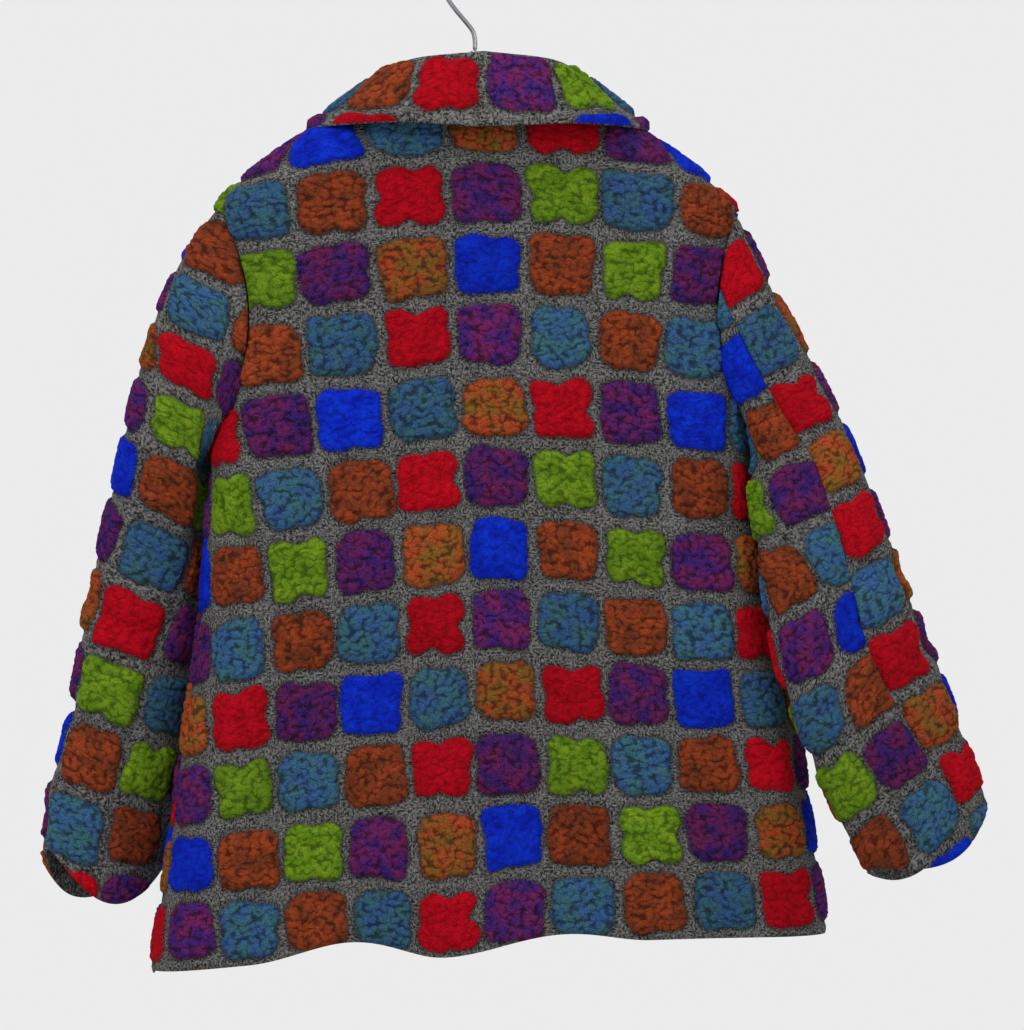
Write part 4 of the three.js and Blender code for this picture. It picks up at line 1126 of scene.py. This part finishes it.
# %% Melange group
def melange_group():
    tree, given = new_tree("melange", "ShaderNodeTree", [
        ("Cloth", "Vector", None), ("Dark fibre", "Color", (0, 0, 0, 1)),
        ("Light fibre", "Color", (1, 1, 1, 1)), ("Fibre size", "Float", 1.6),
    ], [("Color", "Color"), ("Height", "Float")])
    cloth, scale = given["Cloth"], maths(tree, "DIVIDE", 1.0, given["Fibre size"])
    across, down = (noise(tree, vector_maths(tree, "MULTIPLY", cloth, way), scale, 2.0, 0.7)
                    for way in ((0.55, 1.0, 1.0), (1.0, 0.55, 1.0)))
    patch = fade(tree, noise(tree, cloth, 0.11, 1.0), 0.42, 0.58)
    fibre = between(tree, patch, across, down)
    share = maths(tree, "ADD", fibre, swing(tree, noise(tree, cloth, 0.05), 0.12))
    tone = blend(tree, fade(tree, share, 0.36, 0.68), given["Dark fibre"], given["Light fibre"])
    node(tree, "NodeGroupOutput", {"Color": tone, "Height": fibre})
    return tree


melange = melange_group()
print("ground group:", melange.name)

# %% [markdown]
# ## The dyed yarn
# Each block wanders between two tones of its dye. Painted shade darkens it in the lines between its
# curls, where light can't reach, painted light brightens the crowns of the curls a little, and pale
# hairs of the ground lie over it. The painted shade follows the same curls as the relief, since bump
# alone can't shade a line that narrow.

# %% Curled wool group
def curled_group():
    tree, given = new_tree("curled wool", "ShaderNodeTree", [
        ("Cloth", "Vector", None), ("Tone A", "Color", (1, 1, 1, 1)),
        ("Tone B", "Color", (1, 1, 1, 1)), ("Curl size", "Float", CURL_SIZE),
        ("Line darkness", "Float", 0.34), ("Curl strength", "Float", 1.0),
        ("Hair", "Color", (0.5, 0.45, 0.4, 1)), ("Hair share", "Float", 0.3),
    ], [("Color", "Color"), ("Height", "Float")])
    cloth = given["Cloth"]
    fibre = noise(tree, cloth, 1.0, 4.0, 0.7)
    drift = maths(tree, "ADD", noise(tree, cloth, 0.06, 3.0, 0.6), swing(tree, fibre, 0.5))
    tone = blend(tree, fade(tree, drift, 0.36, 0.64), given["Tone A"], given["Tone B"])
    crown = curls(tree, cloth, given["Curl size"])
    # Painted shade darkens the lines between the curls and painted light brightens their crowns; the
    # fibre noise in light also varies the tone at random.
    lines = fade(tree, crown, 0.0, 1.0, given["Line darkness"], 1.14)
    lines = between(tree, given["Curl strength"], 0.9, lines)
    light = maths(tree, "MULTIPLY", lines, fade(tree, fibre, 0.25, 0.75, 0.4, 1.6))
    tone = darken(tree, tone, light)
    hairs = noise(tree, vector_maths(tree, "MULTIPLY", cloth, (0.5, 1.3, 1.0)), 1.3, 3.0, 0.75)
    hairs = maths(tree, "MULTIPLY", fade(tree, hairs, 0.52, 0.74), given["Hair share"])
    tone = blend(tree, hairs, tone, given["Hair"])
    height = maths(tree, "ADD", crown, maths(tree, "MULTIPLY", fibre, 1.1))
    node(tree, "NodeGroupOutput", {"Color": tone, "Height": height})
    return tree


curled = curled_group()
print("block group:", curled.name)

# %% [markdown]
# ## One wool for the whole coat
# Ground and blocks are one cloth, so one material holds both. A mask made of each point's
# distance from its block's outline, frayed by noise, chooses between the two groups. The
# distance and the dyes are kept in the mesh, so the pattern follows the cloth's surface.

# %% Wool material
def new_material(name):
    material = bpy.data.materials.new(name)
    material.use_nodes = True
    tree = material.node_tree
    return material, tree, tree.nodes["Principled BSDF"]


def opaque(*rgb):
    return (*linear(*rgb), 1)


def wool_material():
    material, tree, shader = new_material("wool")

    def stored(name, output="Vector"):
        return node(tree, "ShaderNodeAttribute", attribute_name=name).outputs[output]

    cloth, pad, curl = stored("cloth"), stored("pad", "Fac"), stored("curl", "Fac")
    ground = node(tree, "ShaderNodeGroup", {
        "Cloth": cloth, "Dark fibre": opaque(30, 30, 30), "Light fibre": opaque(138, 137, 135),
        "Fibre size": 1.55,
    }, node_tree=melange).outputs
    dyed = node(tree, "ShaderNodeGroup", {
        "Cloth": cloth, "Tone A": stored("dye_a", "Color"), "Tone B": stored("dye_b", "Color"),
        "Curl size": CURL_SIZE, "Line darkness": 0.34, "Curl strength": curl,
        "Hair": opaque(170, 160, 150), "Hair share": swing(tree, curl, 0.4, 0.35),
    }, node_tree=curled).outputs
    fray = swing(tree, noise(tree, cloth, 0.6), 6.0)
    mask = fade(tree, maths(tree, "ADD", pad, fray), -1.7, 1.1)
    # Painted shade: shade darkens the cloth in the pressed line round each block's outline.
    shade = fade(tree, maths(tree, "ABSOLUTE", maths(tree, "ADD", pad, 0.9)), 0.0, 3.4, 0.62, 1.0)
    tone = darken(tree, blend(tree, mask, ground["Color"], dyed["Color"]), shade)
    height = between(tree, mask, ground["Height"], dyed["Height"])
    bump = node(tree, "ShaderNodeBump", {"Strength": 0.9, "Distance": 0.0018, "Height": height})
    fill(tree, shader, {
        "Base Color": tone, "Normal": bump.outputs[0], "Sheen Tint": tone, "Sheen Weight": 0.5,
        "Sheen Roughness": 0.6, "Specular IOR Level": 0.12, "Roughness": 0.95,
    })
    return material


wool = wool_material()
print("wool of", len(wool.node_tree.nodes), "nodes and two groups")

# %% [markdown]
# ## From smooth panel to raised cloth
# The tree runs once on each panel, and its result is kept as a plain mesh, so that the
# piece needs no modifier afterwards.

# %% Raise the blocks
def raise_blocks(obj):
    modifier = obj.modifiers.new("raised blocks", "NODES")
    modifier.node_group = relief
    modifier[SOCKETS["Wool"]] = wool
    modifier[SOCKETS["Seed"]] = 0.0
    graph = bpy.context.evaluated_depsgraph_get()
    made = bpy.data.meshes.new_from_object(obj.evaluated_get(graph), depsgraph=graph)
    obj.modifiers.remove(modifier)
    old, obj.data = obj.data, made
    bpy.data.meshes.remove(old)
    made.name = obj.name
    return len(made.vertices)


for piece in cut:
    print(piece["node"], "raised,", raise_blocks(piece["obj"]), "points")

# %% [markdown]
# ## Horn, thread, wood and steel
# These four are plain against the wool. Each is one noise that moves its tone and a slight
# bump, drawn out along the grain for wood and pressed into level bands for horn.

# %% Plain materials
def plain_material(name, dark, light, scale, rough, metal=0, stretch=(1, 1, 1), bump=0.0002):
    material, tree, shader = new_material(name)
    place = node(tree, "ShaderNodeTexCoord").outputs["Object"]
    grain = noise(tree, vector_maths(tree, "MULTIPLY", place, stretch), scale, 3.0, 0.6)
    lift = node(tree, "ShaderNodeBump", {"Strength": 0.4, "Distance": bump, "Height": grain})
    fill(tree, shader, {
        "Base Color": blend(tree, fade(tree, grain, 0.35, 0.65), opaque(*dark), opaque(*light)),
        "Normal": lift.outputs[0], "Roughness": rough, "Metallic": metal,
    })
    return material


horn = plain_material("horn", (38, 32, 28), (74, 60, 48), 90, 0.32, 0, (1, 1, 3), 0.0001)
thread = plain_material("thread", (60, 58, 54), (96, 92, 86), 900, 0.9)
wood = plain_material("wood", (138, 98, 60), (178, 134, 88), 40, 0.45, 0, (0.15, 1, 1))
steel = plain_material("steel", (176, 178, 182), (196, 198, 202), 300, 0.24, 1, bump=0.00002)
print("plain materials:", ", ".join(m.name for m in (horn, thread, wood, steel)))

# %% [markdown]
# ## Turned and drawn shapes
# A button is turned on a lathe and a wire is drawn through a die. `lathe` and `tube` do the
# same: one spins a profile, the other carries a circle along a path. A screw modifier or a
# bevelled curve could do it too, but these close their own ends.

# %% Lathe and tube
def object_of(name, mesh, material):
    mesh.materials.clear()
    mesh.materials.append(material)
    obj = bpy.data.objects.new(name, mesh)
    bpy.context.scene.collection.objects.link(obj)
    return obj


def mesh_of(name, build):
    bmesh.ops.recalc_face_normals(build, faces=build.faces)
    mesh = bpy.data.meshes.new(name)
    build.to_mesh(mesh)
    build.free()
    mesh.shade_smooth()
    mesh.set_sharp_from_angle(angle=math.radians(40))
    return mesh


def bridge(build, rings):
    """Joins each ring of points to the next one with four-sided faces."""
    for low, high in zip(rings, rings[1:]):
        for k in range(len(low)):
            n = (k + 1) % len(low)
            build.faces.new((low[k], low[n], high[n], high[k]))


def lathe(profile, segments):
    """A closed turned solid round z from (radius, height) pairs that start and end at radius 0."""
    build = bmesh.new()
    angles = [2 * math.pi * k / segments for k in range(segments)]
    rings = [[build.verts.new((radius * math.cos(a), radius * math.sin(a), height)) for a in angles]
             for radius, height in profile[1:-1]]
    ends = [build.verts.new((0, 0, profile[0][1])), build.verts.new((0, 0, profile[-1][1]))]
    for k in range(segments):
        n = (k + 1) % segments
        build.faces.new((ends[0], rings[0][n], rings[0][k]))
        build.faces.new((ends[1], rings[-1][k], rings[-1][n]))
    bridge(build, rings)
    return build


def tube(points, radius, sides, build=None):
    """A round wire along points, with rounded ends."""
    build = build or bmesh.new()
    points = [Vector(p) for p in points]
    last = len(points) - 1
    angles = [2 * math.pi * k / sides for k in range(sides)]
    rings = []

    def ring(at, along, size):
        side = along.cross(Vector((0, 1, 0))).normalized()
        other = side.cross(along)
        rings.append([build.verts.new(at + size * (side * math.cos(a) + other * math.sin(a)))
                      for a in angles])

    for i, p in enumerate(points):
        along = (points[min(i + 1, last)] - points[max(i - 1, 0)]).normalized()
        if 0 < i < last:
            ring(p, along, radius)
            continue
        out, rounding = (-1, (80, 50, 20)) if i == 0 else (1, (20, 50, 80))
        for a in map(math.radians, rounding):
            ring(p + out * along * radius * (math.sin(a) - 1), along, radius * math.cos(a))
    bridge(build, rings)
    build.faces.new(rings[0][::-1])
    build.faces.new(rings[-1])
    return build


print("lathe and tube ready")

# %% [markdown]
# ## Buttons
# Each button is a horn disc of 28 mm with a raised rim, a dished face and four drilled holes,
# sewn on with a cross of thread. It is made once in millimetres, and each place gets its own
# copy. The holes are cut by a Boolean modifier, as a drill cuts them.

# %% Buttons
HOLE_PLACE, HOLE_R = 2.1, 1.0
THREAD_R = 0.32
RIM_WIDE, RIM_MID, RIM_HIGH = 1.2, 2.5, 1.9


def button_mesh():
    rim = [(BUTTON_R - RIM_WIDE + RIM_WIDE * math.sin(a), RIM_MID - RIM_HIGH * math.cos(a))
           for a in (math.radians(20 * k) for k in range(1, 9))]
    profile = [(0, 0.1), (12.4, 0.1), *rim, (11.8, 4.9), (10.6, 4.4), (9.4, 3.5), (6, 3.25),
               (0, 3.2)]
    disc = object_of("disc", mesh_of("disc", lathe(profile, 64)), horn)
    drill = bmesh.new()
    for x in (-HOLE_PLACE, HOLE_PLACE):
        for y in (-HOLE_PLACE, HOLE_PLACE):
            bmesh.ops.create_cone(drill, cap_ends=True, segments=16, radius1=HOLE_R, radius2=HOLE_R,
                                  depth=12, matrix=Matrix.Translation((x, y, 2)))
    holes = object_of("holes", mesh_of("holes", drill), horn)
    cutter = disc.modifiers.new("holes", "BOOLEAN")
    cutter.object, cutter.operation, cutter.solver = holes, "DIFFERENCE", "EXACT"
    graph = bpy.context.evaluated_depsgraph_get()
    mesh = bpy.data.meshes.new_from_object(disc.evaluated_get(graph), depsgraph=graph)
    for obj in (disc, holes):
        bpy.data.objects.remove(obj)
    return mesh


def cross_mesh():
    strands = bmesh.new()
    for slant, high in ((1, 3.9), (-1, 4.5)):
        path = []
        for share, z in ((-1, 0.4), (-1, 2.6), (-0.8, high - 0.25), (0, high),
                         (0.8, high - 0.25), (1, 2.6), (1, 0.4)):
            path.append((HOLE_PLACE * share, HOLE_PLACE * share * slant, z))
        tube(path, THREAD_R, 8, strands)
    return mesh_of("cross", strands)


def placed(mesh, place):
    copy = mesh.copy()
    copy.transform(place)
    return copy


button, cross = button_mesh(), cross_mesh()
buttons = []
for i, z in enumerate(BUTTON_Z):
    normal = Vector(body_normal(np.array([float(BUTTON_X)]), np.array([float(z)]), np.array([1]))[0])
    centre = Vector(body_point(BUTTON_X, z, 1)) + normal * BUTTON_LIFT
    turn = Vector((0, 0, 1)).rotation_difference(normal).to_matrix().to_4x4()
    place = Matrix.Scale(MM, 4) @ Matrix.Translation(centre) @ turn
    disc = object_of(f"button_{i + 1}_horn", placed(button, place), horn)
    knot = object_of(f"button_{i + 1}_thread", placed(cross, place), thread)
    buttons.append((f"button_{i + 1}", disc, knot))
print("buttons:", len(buttons), "each with", len(button.polygons), "faces")

# %% [markdown]
# ## Hook
# The hanger's hook is one steel wire of 4 mm: a shank that leans to one side and a round bend that
# takes the rod. The shank's bends are given points, the round bend is a circle, and one soft curve
# runs through both. The bar and the ferrule keep their solids.

# %% Hook
HOOK_R, WIRE_R = 24, 2
SHANK = [(0, -72.7), (0, -64), (-2, -56), (-9, -47), (-17, -37.5), (-22.6, -29)]
BEND = [(HOOK_R * math.cos(math.radians(a)), WIRE_R - HOOK_R + HOOK_R * math.sin(math.radians(a)))
        for a in range(176, -13, -18)]


def rounded_path(points, parts=5):
    """A curve through the points, each stretch split in parts."""
    p = np.array(points, float)
    p = np.vstack([2 * p[0] - p[1], p, 2 * p[-1] - p[-2]])
    out = []
    for a, b, c, d in zip(p, p[1:], p[2:], p[3:]):
        for t in np.arange(parts) / parts:
            out.append(0.5 * (2 * b + (c - a) * t + (2 * a - 5 * b + 4 * c - d) * t * t
                              + (3 * b - a - 3 * c + d) * t**3))
    return [*out, p[-2]]


wire = [(x * MM, 0, z * MM) for x, z in rounded_path([*SHANK, *BEND])]
hook = object_of("hanger_hook_wire", mesh_of("hook", tube(wire, WIRE_R * MM, 20)), steel)
print("hook of", len(wire), "rings")

# %% [markdown]
# ## Putting each piece in the frame
# Every panel rides on the one body and takes the place of its solid, and its flat size is printed.

# %% Frame
def stand_for(obj, node_name):
    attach(obj, "root")
    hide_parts(node_name)


for piece in cut:
    stand_for(piece["obj"], piece["node"])
for name, disc, knot in buttons:
    stand_for(disc, name)
    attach(knot, "root")
stand_for(hook, "hanger_hook")
for name, material in (("hanger_bar", wood), ("hanger_ferrule", steel)):
    mesh = frame["nodes"][name].data
    mesh.materials.clear()
    mesh.materials.append(material)

for piece in cut:
    print(piece["node"], "flat", [round(x, 3) for x in piece["flat"]])

# %% [markdown]
# ## Studio
# A pale, evenly lit wall stands far behind the coat. A nearer one would stand between the
# coat and the views of its other sides. Large lamps keep the shadows soft, as a tent of
# white cloth would.

# %% Stage and camera
CENTRE = Vector((0.031, 0, -0.459))
CAMERA_TURN = math.radians(-5)
DISTANCE = 4.8
SEEN_HEIGHT = 0.858
SENSOR = 36


def wall():
    build = bmesh.new()
    bmesh.ops.create_grid(build, x_segments=1, y_segments=1, size=9)
    mesh = mesh_of("wall", build)
    mesh.transform(Matrix.Translation((0, 9, -0.4)) @ Matrix.Rotation(math.pi / 2, 4, "X"))
    material, tree, shader = new_material("wall")
    fill(tree, shader, {
        "Base Color": opaque(60, 60, 60), "Roughness": 0.9,
        "Emission Color": opaque(235, 235, 236), "Emission Strength": 0.97,
    })
    return object_of("wall", mesh, material)


def aimed(name, data, place):
    """A camera or lamp at a place, turned to the middle of the coat."""
    obj = bpy.data.objects.new(name, data)
    obj.location = place
    obj.rotation_mode = "QUATERNION"
    obj.rotation_quaternion = (CENTRE - Vector(place)).to_track_quat("-Z", "Y")
    bpy.context.scene.collection.objects.link(obj)
    return obj


def lamp(name, place, size, power):
    light = bpy.data.lights.new(name, "AREA")
    light.shape, light.size, light.size_y = "RECTANGLE", *size
    light.energy = power
    return aimed(name, light, place)


def world(strength):
    made = bpy.data.worlds.new("studio")
    made.use_nodes = True
    fill(made.node_tree, made.node_tree.nodes["Background"], {
        "Color": (1, 1, 1, 1), "Strength": strength,
    })
    bpy.context.scene.world = made


camera_data = bpy.data.cameras.new("camera")
camera_data.sensor_width = SENSOR
camera_data.lens = SENSOR * DISTANCE / SEEN_HEIGHT
stand = CENTRE + DISTANCE * Vector((math.sin(CAMERA_TURN), -math.cos(CAMERA_TURN), 0))
camera = aimed("camera", camera_data, stand)
bpy.context.scene.camera = camera

lamps = [
    lamp("key", (-1.3, -2.2, 1.1), (1.4, 1.4), 33),
    lamp("fill", (1.7, -2.4, -0.1), (1.8, 1.8), 11),
    lamp("top", (0.1, -0.6, 1.6), (1.6, 0.8), 8),
]
world(0.42)
wall()
bpy.context.scene.view_settings.view_transform = "Standard"
print("camera", DISTANCE, "m away with a lens of", round(camera_data.lens), "mm")
